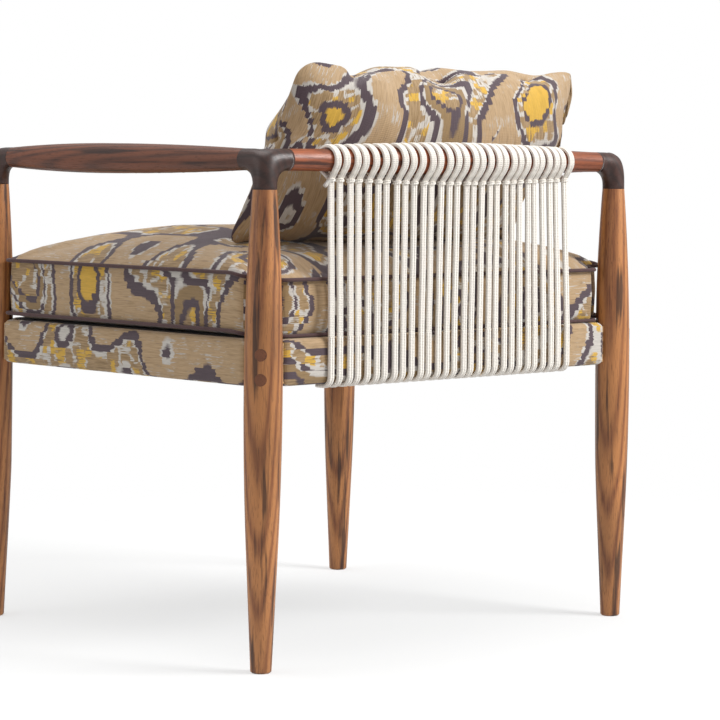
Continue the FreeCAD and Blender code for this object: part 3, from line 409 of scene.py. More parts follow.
def tapestry_material():
    made = bpy.data.materials.get("Tapestry")
    if made:
        return made
    made, tree, shader = new_material("Tapestry")
    weave = add_node(tree, "ShaderNodeGroup", node_tree=tapestry_weave())
    tree.links.new(tree.nodes.new("ShaderNodeTexCoord").outputs["UV"], weave.inputs["Vector"])
    for word, value in (("Ground", colours().ground), ("Patch", colours().patch), ("Line", colours().line),
                        ("Streak", colours().streak), ("Spot", colours().spot)):
        weave.inputs[word].default_value = value
    tree.links.new(weave.outputs["Color"], shader.inputs["Base Color"])
    shader.inputs["Roughness"].default_value = 0.88
    shader.inputs["Sheen Weight"].default_value = 0.25
    shader.inputs["Sheen Roughness"].default_value = 0.5
    shader.inputs["Specular IOR Level"].default_value = 0.25
    relieve(tree, shader, weave.outputs["Height"], 0.5, 0.6 * MM)
    return made


def cord_material():
    made = bpy.data.materials.get("Braided cord")
    if made:
        return made
    made, tree, shader = new_material("Braided cord")
    place = tree.nodes.new("ShaderNodeTexCoord").outputs["UV"]
    braid = add_node(tree, "ShaderNodeGroup", {}, node_tree=braid_pattern())
    tree.links.new(place, braid.inputs["Vector"])
    braid.inputs["Pitch"].default_value = 4.2 * MM
    braid.inputs["Strands"].default_value = 3.0
    braid.inputs["Girth"].default_value = math.pi * cords().thickness
    # The braid's value darkens the cream cotton: painted shade in the hollows between strands, with a little
    # random fuzz.
    cotton = add_node(tree, "ShaderNodeHueSaturation", {"Color": tuple(colours().cord),
                                                       "Value": braid.outputs["Fuzz and Painted Shade"]}).outputs["Color"]
    tree.links.new(cotton, shader.inputs["Base Color"])
    shader.inputs["Roughness"].default_value = 0.85
    shader.inputs["Sheen Weight"].default_value = 0.2
    relieve(tree, shader, braid.outputs["Height"], 0.9, 0.8 * MM)
    return made


def cloth_material(name, base, thread):
    """A plain woven cloth on Object coordinates, with threads of a given width."""
    made = bpy.data.materials.get(name)
    if made:
        return made
    made, tree, shader = new_material(name)
    place = place_on_piece(tree)
    parts = add_node(tree, "ShaderNodeSeparateXYZ", {0: place}).outputs
    waves = []
    for axis in ("X", "Y", "Z"):
        waves.append(calculate(tree, "SINE", calculate(tree, "MULTIPLY", parts[axis], FULL_TURN / thread)))
    weave = calculate(tree, "MULTIPLY_ADD", calculate(tree, "MULTIPLY", waves[0], waves[1]), 0.5,
                      calculate(tree, "MULTIPLY", waves[2], 0.3))
    mottled = clouds(tree, place, 160.0, 3.0)
    value = calculate(tree, "MULTIPLY_ADD", weave, 0.10, remap(tree, mottled, 0.3, 0.7, 0.80, 1.12))
    shade = add_node(tree, "ShaderNodeHueSaturation", {"Color": tuple(base), "Value": value})
    tree.links.new(shade.outputs["Color"], shader.inputs["Base Color"])
    shader.inputs["Roughness"].default_value = 0.85
    shader.inputs["Sheen Weight"].default_value = 0.15
    relieve(tree, shader, weave, 0.4, 0.4 * MM)
    return made


def steel_material():
    made, tree, shader = new_material("Plated steel")
    place = place_on_piece(tree)
    cloudy = clouds(tree, place, 300.0, 3.0)
    zinc = blend_colours(tree, cloudy, tint(150, 152, 155), tint(196, 198, 200))
    tree.links.new(zinc, shader.inputs["Base Color"])
    tree.links.new(remap(tree, cloudy, 0.3, 0.7, 0.28, 0.45), shader.inputs["Roughness"])
    relieve(tree, shader, cloudy, 0.1, 0.2 * MM)
    shader.inputs["Metallic"].default_value = 1.0
    return made


# ------------------------------------------------------------------ pieces


def finish_node(node_name, material):
    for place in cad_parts[node_name].material_slots:
        place.material = material


def add_piece(name, mesh, body, material, nodes=()):
    """A new piece at the origin that stands for its nodes and rides on their body."""
    for face in mesh.polygons:
        face.use_smooth = True
    mesh.materials.clear()
    mesh.materials.append(material)
    piece = bpy.data.objects.new(name, mesh)
    bpy.context.scene.collection.objects.link(piece)
    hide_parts(*nodes)
    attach(piece, body)
    return piece


def mesh_from(form, name):
    mesh = bpy.data.meshes.new(name)
    form.to_mesh(mesh)
    form.free()
    return mesh


def finished_mesh(piece):
    """The piece's mesh with its modifiers applied."""
    bpy.context.view_layer.update()
    graph = bpy.context.evaluated_depsgraph_get()
    return bpy.data.meshes.new_from_object(piece.evaluated_get(graph), depsgraph=graph)


def swap_mesh(piece, mesh):
    old = piece.data
    piece.modifiers.clear()
    piece.data = mesh
    bpy.data.meshes.remove(old)


def round_tubes(name, lines, thickness, closed=False):
    """Tubes that follow lines of points, with UVs in metres along and round them."""
    curve = bpy.data.curves.new(name, "CURVE")
    curve.dimensions = "3D"
    curve.bevel_depth = thickness / 2
    curve.bevel_resolution = 2
    curve.use_fill_caps = not closed
    for line in lines:
        spline = curve.splines.new("POLY")
        spline.points.add(len(line) - 1)
        for point, place in zip(spline.points, line):
            point.co = (*place, 1.0)
        spline.use_cyclic_u = closed
    piece = bpy.data.objects.new(name, curve)
    bpy.context.scene.collection.objects.link(piece)
    mesh = finished_mesh(piece)
    bpy.data.objects.remove(piece)
    bpy.data.curves.remove(curve)
    line = lines[0]
    reach = sum((Vector(b) - Vector(a)).length for a, b in zip(line, line[1:]))
    girth = math.pi * thickness
    for corner in mesh.uv_layers[0].data:
        corner.uv = (corner.uv[0] * reach, corner.uv[1] * girth)
    return mesh


# ------------------------------------------------------------------ the cords


def rail_section(x):
    """Centre and radius of the back rail at x."""
    swell = math.cos(x / RAIL_HALF * math.pi / 2) ** 2
    bow = RAIL_BACK - cords().belly_radius - REAR
    radius = cords().limb_radius + (cords().belly_radius - cords().limb_radius) * swell
    return Vector((x, REAR + bow * swell, RAIL_LEVEL)), radius


def cord_station(number):
    sizes = cords()
    return sizes.first - number * sizes.pitch + sizes.wander * math.sin(2.4 * number)


def cord_places(x):
    """Rail centre, radius of the turn, knot and landing of the doubled cord at x."""
    sizes = cords()
    centre, radius = rail_section(x)
    turn = radius + sizes.thickness / 2 + sizes.play
    knot = centre + Vector((0.0, sizes.knot_back, -turn - sizes.knot_drop))
    aside = sizes.fan * max(0.0, x / sizes.first)
    landing = Vector((x + aside, APRON_BACK + sizes.thickness / 2 + sizes.play, APRON_TOP))
    return centre, turn, knot, landing


def turn_line(centre, turn, knot, way, lean):
    """A loop from the knot up round the rail and back: straight to each side of the rail, then round it."""
    offset = knot - centre
    facing = math.atan2(offset.z, offset.y)
    spread = math.acos(turn / math.hypot(offset.y, offset.z))
    start = facing + spread
    sweep = 2 * math.pi - 2 * spread
    line = [knot + Vector((way * cords().spacing / 2, 0.0, 0.0))]
    aside = way * cords().spread / 2
    for step in range(25):
        angle = start + sweep * step / 24
        slant = lean * math.sin(angle)
        line.append(centre + Vector((aside + slant, turn * math.cos(angle), turn * math.sin(angle))))
    return line


def knot_line(knot, number):
    """Two flat wraps of cord round a pair of strands."""
    sizes = cords()
    strand = sizes.knot_height / 2
    wide = (sizes.knot_width - strand) / 2
    deep = (sizes.thickness + strand) / 2
    tilt = 0.10 * math.sin(1.7 * number)
    line = []
    for step in range(32):
        angle = 4 * math.pi * step / 32
        x = wide * math.cos(angle)
        line.append(knot + Vector((x, deep * math.sin(angle), strand / 2 * math.cos(angle / 2) + tilt * x)))
    return line


def loose_end(knot):
    """The short end of the first cord, sticking out of its knot and drooping."""
    sizes = cords()
    line = []
    for step in range(7):
        share = step / 6
        line.append(knot + Vector((sizes.loose_end * share, sizes.thickness / 2,
                                   -sizes.loose_end * 0.6 * share ** 2)))
    return line


def upright_line(knot, landing, aside, number):
    """The straight run from the knot to the seat, with the slight wander of a real cord."""
    line = []
    for step in range(9):
        share = step / 8
        place = knot.lerp(landing, share) + Vector((aside, 0.0, 0.0))
        sway = 0.25 * MM * math.sin(math.pi * share) * math.sin(5.1 * number + 7 * share)
        line.append(place + Vector((sway, 0.0, 0.0)))
    return line


def tail_line(landing, aside):
    """Down the padded rear face, round its lower edge and in under the seat."""
    sizes = cords()
    bend = seat().cover_round + sizes.thickness / 2
    pivot = Vector((landing.x + aside, landing.y - bend, APRON_BOTTOM + seat().cover_round))
    drop = APRON_TOP - pivot.z
    line = [landing + Vector((aside, 0.0, -drop * step / 20)) for step in range(20)]
    for step in range(9):
        angle = -math.pi / 2 * step / 8
        line.append(pivot + Vector((0.0, bend * math.cos(angle), bend * math.sin(angle))))
    line.append(line[-1] - Vector((0.0, sizes.tail / 2, 0.0)))
    line.append(line[-1] - Vector((0.0, sizes.tail / 2, 0.0)))
    return line


class ARMCHAIR_OT_back_cords(bpy.types.Operator):
    """Wind the doubled cords over the rail, knot them under it and run them down behind the seat"""
    bl_idname = "armchair.back_cords"
    bl_label = "Back cords"

    def execute(self, context):
        turns, knots, uprights, tails = [], [], [], []
        for number in range(cords().pairs):
            centre, turn, knot, landing = cord_places(cord_station(number))
            lean = 0.5 * MM * math.sin(3.3 * number)
            for way in (-1, 1):
                aside = way * cords().spacing / 2
                turns.append(turn_line(centre, turn, knot, way, lean))
                uprights.append(upright_line(knot, landing, aside, number))
                tails.append(tail_line(landing, aside))
            knots.append(knot_line(knot, number))
            if number == 0:
                uprights.append(loose_end(knot))
        thick = cords().thickness
        for name, lines, width, closed, node_name in (
                ("back_cord_turns", turns, thick, True, "cord_turns"),
                ("back_cord_uprights", uprights, thick, False, "cord_uprights"),
                ("back_cord_knots", knots, cords().knot_height / 2, True, "cord_knots"),
                ("back_cord_tails", tails, thick, False, "cord_tails")):
            mesh = round_tubes(name, lines, width, closed)
            add_piece(name, mesh, "frame", cord_material(), [node_name])
        return {"FINISHED"}


# ------------------------------------------------------------------ wood and metal


class ARMCHAIR_OT_turned_wood(bpy.types.Operator):
    """Finish the legs, arms, back rail and bolt plugs"""
    bl_idname = "armchair.turned_wood"
    bl_label = "Turned wood"

    def execute(self, context):
        shades = colours()
        corners = ("front_left", "front_right", "rear_left", "rear_right")
        for number, corner in enumerate(corners):
            away = -middle_of("leg_" + corner) + Vector((0.011 * number, 0.017 * number, 0.31 * number))
            wood = wood_material("Leg wood " + corner, shades.leg_light, shades.leg_dark, shift=away,
                                 band=0.0085)
            finish_node("leg_" + corner, wood)
        for name in ("arm_left", "arm_right"):
            finish_node(name, wood_material("Arm wood " + name, shades.arm_light, shades.arm_dark,
                                            turn=GRAIN_ALONG_Y, band=0.007))
        finish_node("back_rail", wood_material("Rail wood", shades.rail_light, shades.rail_dark,
                                               turn=GRAIN_ALONG_X, band=0.006))
        plug = wood_material("Plug wood", tint(128, 76, 46), tint(106, 60, 36), turn=GRAIN_ALONG_X,
                             band=0.03, figure=3.0)
        finish_node("bolt_plugs", plug)
        dowel = wood_material("Dowel wood", tint(206, 170, 124), tint(176, 134, 90), band=0.003)
        for name in ("leg_dowels", "arm_dowels", "rail_dowels"):
            finish_node(name, dowel)
        return {"FINISHED"}


def ease_joint(form, seams, passes):
    """Smooth a joint's surface but hold what lies near its seams."""
    held = 6 * MM
    free = [v for v in form.verts
            if all(abs((v.co - place).dot(way)) > held for place, way in seams)]
    for _ in range(passes):
        bmesh.ops.smooth_vert(form, verts=free, factor=0.5, use_axis_x=True, use_axis_y=True,
                              use_axis_z=True)


def trim_joint(form, seams):
    """Cut the rounded ends off square and draw each out again to its seam."""
    trim = 2.0 * MM
    for place, way in seams:
        everything = form.verts[:] + form.edges[:] + form.faces[:]
        cut = bmesh.ops.bisect_plane(form, geom=everything, plane_co=place - way * trim, plane_no=way,
                                     clear_outer=True)["geom_cut"]
        rim = [e for e in cut if isinstance(e, bmesh.types.BMEdge) and e.is_valid]
        drawn = bmesh.ops.extrude_edge_only(form, edges=rim)["geom"]
        corners = [v for v in drawn if isinstance(v, bmesh.types.BMVert)]
        bmesh.ops.translate(form, verts=corners, vec=way * trim)
        edges = [e for e in drawn if isinstance(e, bmesh.types.BMEdge)]
        bmesh.ops.bridge_loops(form, edges=edges)


class ARMCHAIR_OT_corner_joints(bpy.types.Operator):
    """Carve the dark corner joints smooth, with their seams kept square"""
    bl_idname = "armchair.corner_joints"
    bl_label = "Corner joints"

    def execute(self, context):
        shades = colours()
        for corner, end in (("front_left", -1), ("front_right", -1), ("rear_left", 1), ("rear_right", 1)):
            node_name = "corner_joint_" + corner
            form = bmesh.new()
            form.from_mesh(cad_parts[node_name].data)
            bmesh.ops.remove_doubles(form, verts=form.verts, dist=0.01 * MM)
            if end > 0:
                self.fill_corner(form, corner)
            rough = bpy.data.objects.new("rough", mesh_from(form, "rough"))
            context.scene.collection.objects.link(rough)
            shell = rough.modifiers.new("Shell", "REMESH")
            shell.mode = "VOXEL"
            shell.voxel_size = 1.2 * MM
            form = bmesh.new()
            smooth = finished_mesh(rough)
            form.from_mesh(smooth)
            bpy.data.objects.remove(rough)
            bpy.data.meshes.remove(smooth)
            seams = self.seams_of(corner, end)
            ease_joint(form, seams, 10)
            trim_joint(form, seams)
            bmesh.ops.recalc_face_normals(form, faces=form.faces)
            wood = wood_material("Joint wood " + corner, shades.joint_light, shades.joint_dark,
                                 turn=GRAIN_ALONG_Y, band=0.012, figure=5.0, gloss=0.18)
            add_piece(node_name + "_carved", mesh_from(form, node_name + "_carved"), "frame",
                      wood, [node_name])
        return {"FINISHED"}

    def fill_corner(self, form, corner):
        """A ball where arm, rail and leg meet, which rounds the outside and fills the dip on top."""
        radius, inset, below = 15.5 * MM, 5 * MM, 2 * MM
        axis = middle_of("leg_" + corner)
        place = Vector((axis.x - math.copysign(inset, axis.x), axis.y - inset, RAIL_LEVEL - below))
        bmesh.ops.create_icosphere(form, subdivisions=4, radius=radius, matrix=Matrix.Translation(place))

    def seams_of(self, corner, end):
        """Where the joint meets its leg, arm and rail: (a place on the seam, the way out of the joint)."""
        side = "left" if corner.endswith("left") else "right"
        arm_low, arm_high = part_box("arm_" + side)
        leg_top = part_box("leg_" + corner)[1]
        seams = [(Vector((0, 0, leg_top.z)), -UP),
                 (Vector((0, arm_high.y if end > 0 else arm_low.y, 0)), Vector((0, -end, 0)))]
        if end > 0:
            way = 1 if side == "left" else -1
            seams.append((Vector((way * RAIL_HALF, 0, 0)), Vector((-way, 0, 0))))
        return seams


class ARMCHAIR_OT_seat_frame(bpy.types.Operator):
    """Finish the boards, corner blocks, fixings and webbing inside the seat"""
    bl_idname = "armchair.seat_frame"
    bl_label = "Seat frame"

    def execute(self, context):
        pale = (tint(196, 158, 112), tint(164, 122, 80))
        for name, turn in (("front", GRAIN_ALONG_X), ("rear", GRAIN_ALONG_X), ("left", GRAIN_ALONG_Y),
                           ("right", GRAIN_ALONG_Y)):
            finish_node("seat_rail_" + name, wood_material("Board " + name, *pale, turn=turn, band=0.009,
                                                           gloss=0.0))
        block = wood_material("Block wood", *pale, band=0.009, gloss=0.0)
        for corner in ("front_left", "front_right", "rear_left", "rear_right"):
            finish_node("corner_block_" + corner, block)
        steel = steel_material()
        for name in ("leg_bolts", "bolt_washers", "bolt_nuts", "corner_block_screws"):
            finish_node(name, steel)
        strap = cloth_material("Jute webbing", tint(176, 148, 104), 0.0024)
        for name in ("webbing_front_to_back", "webbing_side_to_side"):
            finish_node(name, strap)
        return {"FINISHED"}


# ------------------------------------------------------------------ seat covers and panels


def divide(form, axis, low, high, cuts):
    """Cut the whole form across an axis into even slices."""
    for number in range(1, cuts + 1):
        place = Vector((0, 0, 0))
        place[axis] = low + (high - low) * number / (cuts + 1)
        way = Vector((0, 0, 0))
        way[axis] = 1.0
        bmesh.ops.bisect_plane(form, geom=form.verts[:] + form.edges[:] + form.faces[:], plane_co=place,
                               plane_no=way)


def build_cover(name, depth_axis, outward):
    """A padded skin with rounded edges and folded ends, open towards the board that it wraps."""
    low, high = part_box("seat_cover_" + name)
    run_axis = 1 - depth_axis
    form = bmesh.new()
    bmesh.ops.create_cube(form, size=1.0)
    bmesh.ops.scale(form, vec=high - low, verts=form.verts)
    bmesh.ops.translate(form, vec=(low + high) / 2, verts=form.verts)
    inner = [f for f in form.faces if f.normal[depth_axis] * outward < -0.5]
    bmesh.ops.delete(form, geom=inner, context="FACES_ONLY")
    rounded = [e for e in form.edges if not e.is_boundary]
    bmesh.ops.bevel(form, geom=rounded, offset=seat().cover_round, offset_type="OFFSET", segments=5,
                    profile=0.5, affect="EDGES", material=-1)
    divide(form, run_axis, low[run_axis], high[run_axis], 30)
    divide(form, 2, low.z, high.z, 6)
    face_plane = high[depth_axis] if outward > 0 else low[depth_axis]
    level = (low.z + high.z) / 2
    half = (high.z - low.z) / 2
    for vertex in form.verts:
        depth = (face_plane - vertex.co[depth_axis]) * outward
        if depth < 2 * MM:
            share = (vertex.co.z - level) / half
            lump = noise.noise(vertex.co * 22.0) * 0.5 + 0.5
            vertex.co[depth_axis] -= outward * (1.3 * MM * share ** 2 + 0.5 * MM * lump)
    cloth = form.loops.layers.uv.new("UVMap")
    for face in form.faces:
        normal = face.normal
        for corner in face.loops:
            place = corner.vert.co
            depth = (face_plane - place[depth_axis]) * outward
            along, height = place[run_axis], place.z
            if abs(normal.z) > 0.75:
                height += depth * math.copysign(1, normal.z)
            elif abs(normal[run_axis]) > 0.75:
                along += depth * math.copysign(1, normal[run_axis])
            corner[cloth].uv = (height + 0.6 * outward, along + 0.9 * depth_axis)
    return mesh_from(form, "seat_cover_" + name + "_cloth")


class ARMCHAIR_OT_seat_covers(bpy.types.Operator):
    """Wrap the four boards of the seat in padded tapestry"""
    bl_idname = "armchair.seat_covers"
    bl_label = "Seat covers"

    def execute(self, context):
        for name, depth_axis, outward in (("front", 1, -1), ("rear", 1, 1), ("left", 0, 1),
                                          ("right", 0, -1)):
            mesh = build_cover(name, depth_axis, outward)
            cover = add_piece("seat_cover_" + name + "_cloth", mesh, "frame",
                              tapestry_material(), ["seat_cover_" + name])
            wall = cover.modifiers.new("Wall", "SOLIDIFY")
            wall.thickness = seat().cover_skin
            wall.offset = -1.0
            soft = cover.modifiers.new("Soft", "SUBSURF")
            soft.levels = soft.render_levels = 1
        return {"FINISHED"}


def panel_mesh(name, node_name):
    """A flat cloth with its corners cut off clear of the legs, and a slight unevenness."""
    low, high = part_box(node_name)
    leg_room = 33.25 * MM
    near = (high.x - (SIDE - leg_room), high.y - (REAR - leg_room))
    form = bmesh.new()
    bmesh.ops.create_grid(form, x_segments=64, y_segments=56, size=0.5)
    bmesh.ops.scale(form, vec=(high.x - low.x, high.y - low.y, 1.0), verts=form.verts)
    bmesh.ops.translate(form, vec=((low.x + high.x) / 2, (low.y + high.y) / 2, high.z), verts=form.verts)
    for x_way in (-1, 1):
        for y_way in (-1, 1):
            way = Vector((x_way * near[1], y_way * near[0], 0)).normalized()
            corner = Vector((high.x if x_way > 0 else low.x, high.y if y_way > 0 else low.y, 0))
            place = corner - Vector((x_way * near[0], 0, 0))
            bmesh.ops.bisect_plane(form, geom=form.verts[:] + form.edges[:] + form.faces[:],
                                   plane_co=place, plane_no=way, clear_outer=True)
    for vertex in form.verts:
        vertex.co.z -= 0.2 * MM * (noise.noise(vertex.co * 30.0) + 1)
    area = sum(face.calc_area() for face in form.faces)
    return mesh_from(form, name), (high.x - low.x, high.y - low.y), area


class ARMCHAIR_OT_seat_panels(bpy.types.Operator):
    """Stretch the deck cloth over the webbing and the dust cover under the boards"""
    bl_idname = "armchair.seat_panels"
    bl_label = "Deck and dust cover"

    def execute(self, context):
        for name, node_name, slot_name, base, thread, thick, carriers in (
                ("deck_cloth", "seat_deck", "deck_cloth", tint(58, 50, 46), 0.0016, 1.6 * MM,
                 ["webbing_side_to_side", "seat_rail_front", "seat_rail_rear"]),
                ("dust_cloth", "dust_cover", "dust_cloth", tint(36, 34, 34), 0.0012, 0.6 * MM,
                 ["seat_rail_front", "seat_rail_rear", "seat_rail_left", "seat_rail_right"])):
            mesh, flat, area = panel_mesh(name, node_name)
            cloth = cloth_material(name.replace("_", " ").capitalize(), base, thread)
            panel = add_piece(name, mesh, "frame", cloth, [node_name])
            wall = panel.modifiers.new("Wall", "SOLIDIFY")
            wall.thickness = thick
            wall.offset = -1.0
        return {"FINISHED"}


# ------------------------------------------------------------------ cushion


def notched_corners(inset, back_inset):
    """Twelve corners of the cushion's outline, drawn in by the insets, anticlockwise."""
    notch = seat().notch
    far_x = CUSHION_HIGH.x - inset
    near_x = SIDE - notch - inset
    corners = []
    for x_way, y_way in ((1, 1), (-1, 1), (-1, -1), (1, -1)):
        shrink = back_inset if y_way > 0 else inset
        far_y = CUSHION_HIGH.y - shrink if y_way > 0 else CUSHION_LOW.y + shrink
        near_y = REAR - notch - shrink if y_way > 0 else FRONT + notch + shrink
        three = [(x_way * far_x, near_y), (x_way * near_x, near_y), (x_way * near_x, far_y)]
        corners.extend(three if x_way == y_way else reversed(three))
    return corners


def rounded_outline(inset, back_inset, level, radius):
    """The notched outline with its corners rounded, as places in order."""
    form = bmesh.new()
    corners = [form.verts.new((x, y, level)) for x, y in notched_corners(inset, back_inset)]
    form.faces.new(corners)
    bmesh.ops.bevel(form, geom=form.verts[:], offset=radius, offset_type="OFFSET", segments=5,
                    profile=0.5, affect="VERTICES", material=-1)
    form.faces.ensure_lookup_table()
    places = [v.co.copy() for v in form.faces[0].verts]
    form.free()
    return places


def cushion_form():
    """The cushion before it is stuffed: a belly, an upright side between the seams, and a crown."""
    crown = seat().crown_rise
    sections = [(CUSHION_LOW.z + 0.6 * MM, 34 * MM, 34 * MM), (CUSHION_LOW.z + 3 * MM, 14 * MM, 14 * MM),
                (SEAM_LOW, 2 * MM, 2 * MM), ((SEAM_LOW + SEAM_HIGH) / 2, 0.5 * MM, 0.5 * MM),
                (SEAM_HIGH, 2 * MM, 2 * MM), (SEAM_HIGH + 0.24 * crown, 9 * MM, 22 * MM),
                (SEAM_HIGH + 0.44 * crown, 24 * MM, 62 * MM),
                (SEAM_HIGH + 0.62 * crown, 46 * MM, 112 * MM),
                (SEAM_HIGH + 0.80 * crown, 82 * MM, 152 * MM),
                (SEAM_HIGH + 0.92 * crown, 128 * MM, 197 * MM)]
    form = bmesh.new()
    rings = []
    for level, inset, back_inset in sections:
        radius = seat().corner if inset < 60 * MM else 5 * MM
        ring = [form.verts.new(place) for place in rounded_outline(inset, back_inset, level, radius)]
        for vertex, following in zip(ring, ring[1:] + ring[:1]):
            form.edges.new((vertex, following))
        rings.append(ring)
    for lower, upper in zip(rings, rings[1:]):
        for number in range(len(lower)):
            following = (number + 1) % len(lower)
            form.faces.new((lower[number], lower[following], upper[following], upper[number]))
    form.faces.new(rings[-1])
    form.faces.new(list(reversed(rings[0])))
    bmesh.ops.recalc_face_normals(form, faces=form.faces)
    return mesh_from(form, "cushion_form")


def remeshed(mesh, voxel, name):
    rough = bpy.data.objects.new(name, mesh)
    bpy.context.scene.collection.objects.link(rough)
    shell = rough.modifiers.new("Shell", "REMESH")
    shell.mode = "VOXEL"
    shell.voxel_size = voxel
    fine = finished_mesh(rough)
    swap_mesh(rough, fine)
    return rough


def stuff(piece, pressure, frames, limit, pinned=()):
    """Inflate the piece as cloth, and keep each point within its own limit of where it began."""
    start = [v.co.copy() for v in piece.data.vertices]
    cloth = piece.modifiers.new("Stuffing", "CLOTH")
    settings = cloth.settings
    settings.quality = 5
    settings.mass = 0.3
    settings.tension_stiffness = settings.compression_stiffness = 15
    settings.bending_stiffness = 0.5
    settings.use_pressure = True
    settings.uniform_pressure_force = pressure
    settings.effector_weights.gravity = 0.0
    cloth.collision_settings.use_collision = False
    cloth.point_cache.frame_start = 1
    cloth.point_cache.frame_end = frames
    if pinned:
        piece.vertex_groups.new(name="Held").add(pinned, 1.0, "REPLACE")
        settings.vertex_group_mass = "Held"
    for step in range(1, frames + 1):
        bpy.context.scene.frame_set(step)
    filled = finished_mesh(piece)
    bpy.context.scene.frame_set(1)
    for vertex, place in zip(filled.vertices, start):
        moved = vertex.co - place
        allowed = limit(place)
        if moved.length > allowed:
            vertex.co = place + moved.normalized() * allowed
    swap_mesh(piece, filled)
    piece.vertex_groups.clear()


def cushion_limit(place):
    """The stuffing pushes the top out most, and the side, the underside and the part under the pillow
    least."""
    if place.z < SEAM_HIGH + 2 * MM:
        return 2.5 * MM
    ahead = min(1.0, max(0.0, (REAR - 0.16 - place.y) / 0.10))
    above = min(1.0, (place.z - SEAM_HIGH) / (20 * MM))
    return 1.5 * MM + (seat().swell - 1.5 * MM) * ahead * above


def rear_dip(place):
    """How far the cushion's rear edge sinks at a place, smoothly over its last stretch."""
    share = min(1.0, max(0.0, (place.y - (CUSHION_HIGH.y - 55 * MM)) / (55 * MM)))
    share = share * share * (3 - 2 * share)
    height = (place.z - CUSHION_LOW.z) / (SEAM_LOW - CUSHION_LOW.z)
    if height < 1.0:
        return share * seat().rear_dip_low * max(0.0, height)
    above = min(1.0, (place.z - SEAM_LOW) / (SEAM_HIGH - SEAM_LOW))
    return share * (seat().rear_dip_low + (seat().rear_dip - seat().rear_dip_low) * above)


def lay_cushion_cloth(mesh):
    """UVs in metres: the top and the underside from above, each side of the band from its own side."""
    layer = mesh.uv_layers.new(name="UVMap")
    for face in mesh.polygons:
        in_band = SEAM_LOW < face.center.z < SEAM_HIGH
        across = abs(face.normal.x) > abs(face.normal.y)
        for corner in face.loop_indices:
            place = mesh.vertices[mesh.loops[corner].vertex_index].co
            if not in_band:
                spot = (place.x + 0.37, place.y + 0.21)
            elif across:
                spot = (place.z + 0.4, place.y + 2.3 * math.copysign(1, face.normal.x))
            else:
                spot = (place.z - 0.13, place.x + 4.1 * math.copysign(1, face.normal.y))
            layer.data[corner].uv = spot


def divided(line, step):
    """A closed line with more points, at most a step apart."""
    places = []
    for place, following in zip(line, line[1:] + line[:1]):
        parts = max(1, math.ceil((following - place).length / step))
        places.extend(place.lerp(following, number / parts) for number in range(parts))
    return places


class ARMCHAIR_OT_seat_cushion(bpy.types.Operator):
    """Stuff the seat cushion and lay the piping along its two seams"""
    bl_idname = "armchair.seat_cushion"
    bl_label = "Seat cushion"

    def execute(self, context):
        piece = remeshed(cushion_form(), 6 * MM, "stuffed_seat_cushion")
        pinned = []
        for vertex in piece.data.vertices:
            near = min(abs(vertex.co.z - SEAM_LOW), abs(vertex.co.z - SEAM_HIGH))
            if near < 4 * MM and vertex.co.z > SEAM_LOW - 4 * MM:
                pinned.append(vertex.index)
        stuff(piece, 4.0, 20, cushion_limit, pinned)
        floor = CUSHION_LOW.z + 0.2 * MM
        for vertex in piece.data.vertices:
            vertex.co.z = max(vertex.co.z, floor)
        form = bmesh.new()
        form.from_mesh(piece.data)
        crown = [v for v in form.verts if v.co.z > SEAM_HIGH + 6 * MM]
        for _ in range(6):
            bmesh.ops.smooth_vert(form, verts=crown, factor=0.5, use_axis_x=True, use_axis_y=True,
                                  use_axis_z=True)
        bmesh.ops.subdivide_edges(form, edges=form.edges, cuts=1, smooth=0.6, use_grid_fill=True)
        mesh = mesh_from(form, "stuffed_seat_cushion")
        bpy.data.objects.remove(piece)
        lay_cushion_cloth(mesh)
        for vertex in mesh.vertices:
            vertex.co.z -= rear_dip(vertex.co)
        cushion = add_piece("stuffed_seat_cushion", mesh, SEAT_BODY, tapestry_material(),
                            ["seat_cushion"])
        thick = seat().piping
        cloth = cloth_material("Piping cloth", colours().piping, 0.0011)
        for name, node_name, level in (("seam_piping_lower", "seat_piping_bottom", SEAM_LOW),
                                       ("seam_piping_upper", "seat_piping_top", SEAM_HIGH)):
            line = rounded_outline(-thick * 0.40, -thick * 0.40, level, seat().corner + thick * 0.40)
            line = [place - UP * rear_dip(place) for place in divided(line, 8 * MM)]
            mesh = round_tubes(name, [line], thick, closed=True)
            add_piece(name, mesh, SEAT_BODY, cloth, [node_name])
        return {"FINISHED"}


# ------------------------------------------------------------------ pillow


def pillow_form():
    """Two layers of cloth sewn together along their edges, flat, with UVs in metres."""
    width = seat().pillow_width * 1.06
    height = seat().pillow_height * 1.12
    bow_aside, bow_up, corner_cut, plump = 26 * MM, 34 * MM, 5 * MM, 6 * MM
    form = bmesh.new()
    for side in (1, -1):
        layer = bmesh.ops.create_grid(form, x_segments=100, y_segments=58, size=0.5)["verts"]
        for vertex in layer:
            across, up = 2 * vertex.co.x, 2 * vertex.co.y
            edge = min((1 - abs(across)) * width / 2, (1 - abs(up)) * height / 2)
            corner = (across * up) ** 6
            x = across * (width / 2 + bow_aside * (1 - up ** 2) - corner_cut * corner)
            y = up * (height / 2 + bow_up * (1 - across ** 2) - corner_cut * corner)
            vertex.co = (x, y, side * min(plump, max(0.0, edge) * 0.35))
    cloth = form.loops.layers.uv.new("UVMap")
    for face in form.faces:
        behind = face.calc_center_median().z < 0
        if behind:
            face.normal_flip()
        for corner in face.loops:
            place = corner.vert.co
            corner[cloth].uv = (place.x + (1.9 if behind else 7.3), place.y + (0.62 if behind else 0.2))
    bmesh.ops.remove_doubles(form, verts=form.verts, dist=0.05 * MM)
    return mesh_from(form, "stuffed_back_pillow")


def fit_to(mesh, size):
    """Scale the mesh about the origin to a size."""
    for axis in range(3):
        spots = [v.co[axis] for v in mesh.vertices]
        low, high = min(spots), max(spots)
        for vertex in mesh.vertices:
            vertex.co[axis] = (vertex.co[axis] - (low + high) / 2) * size[axis] / (high - low)


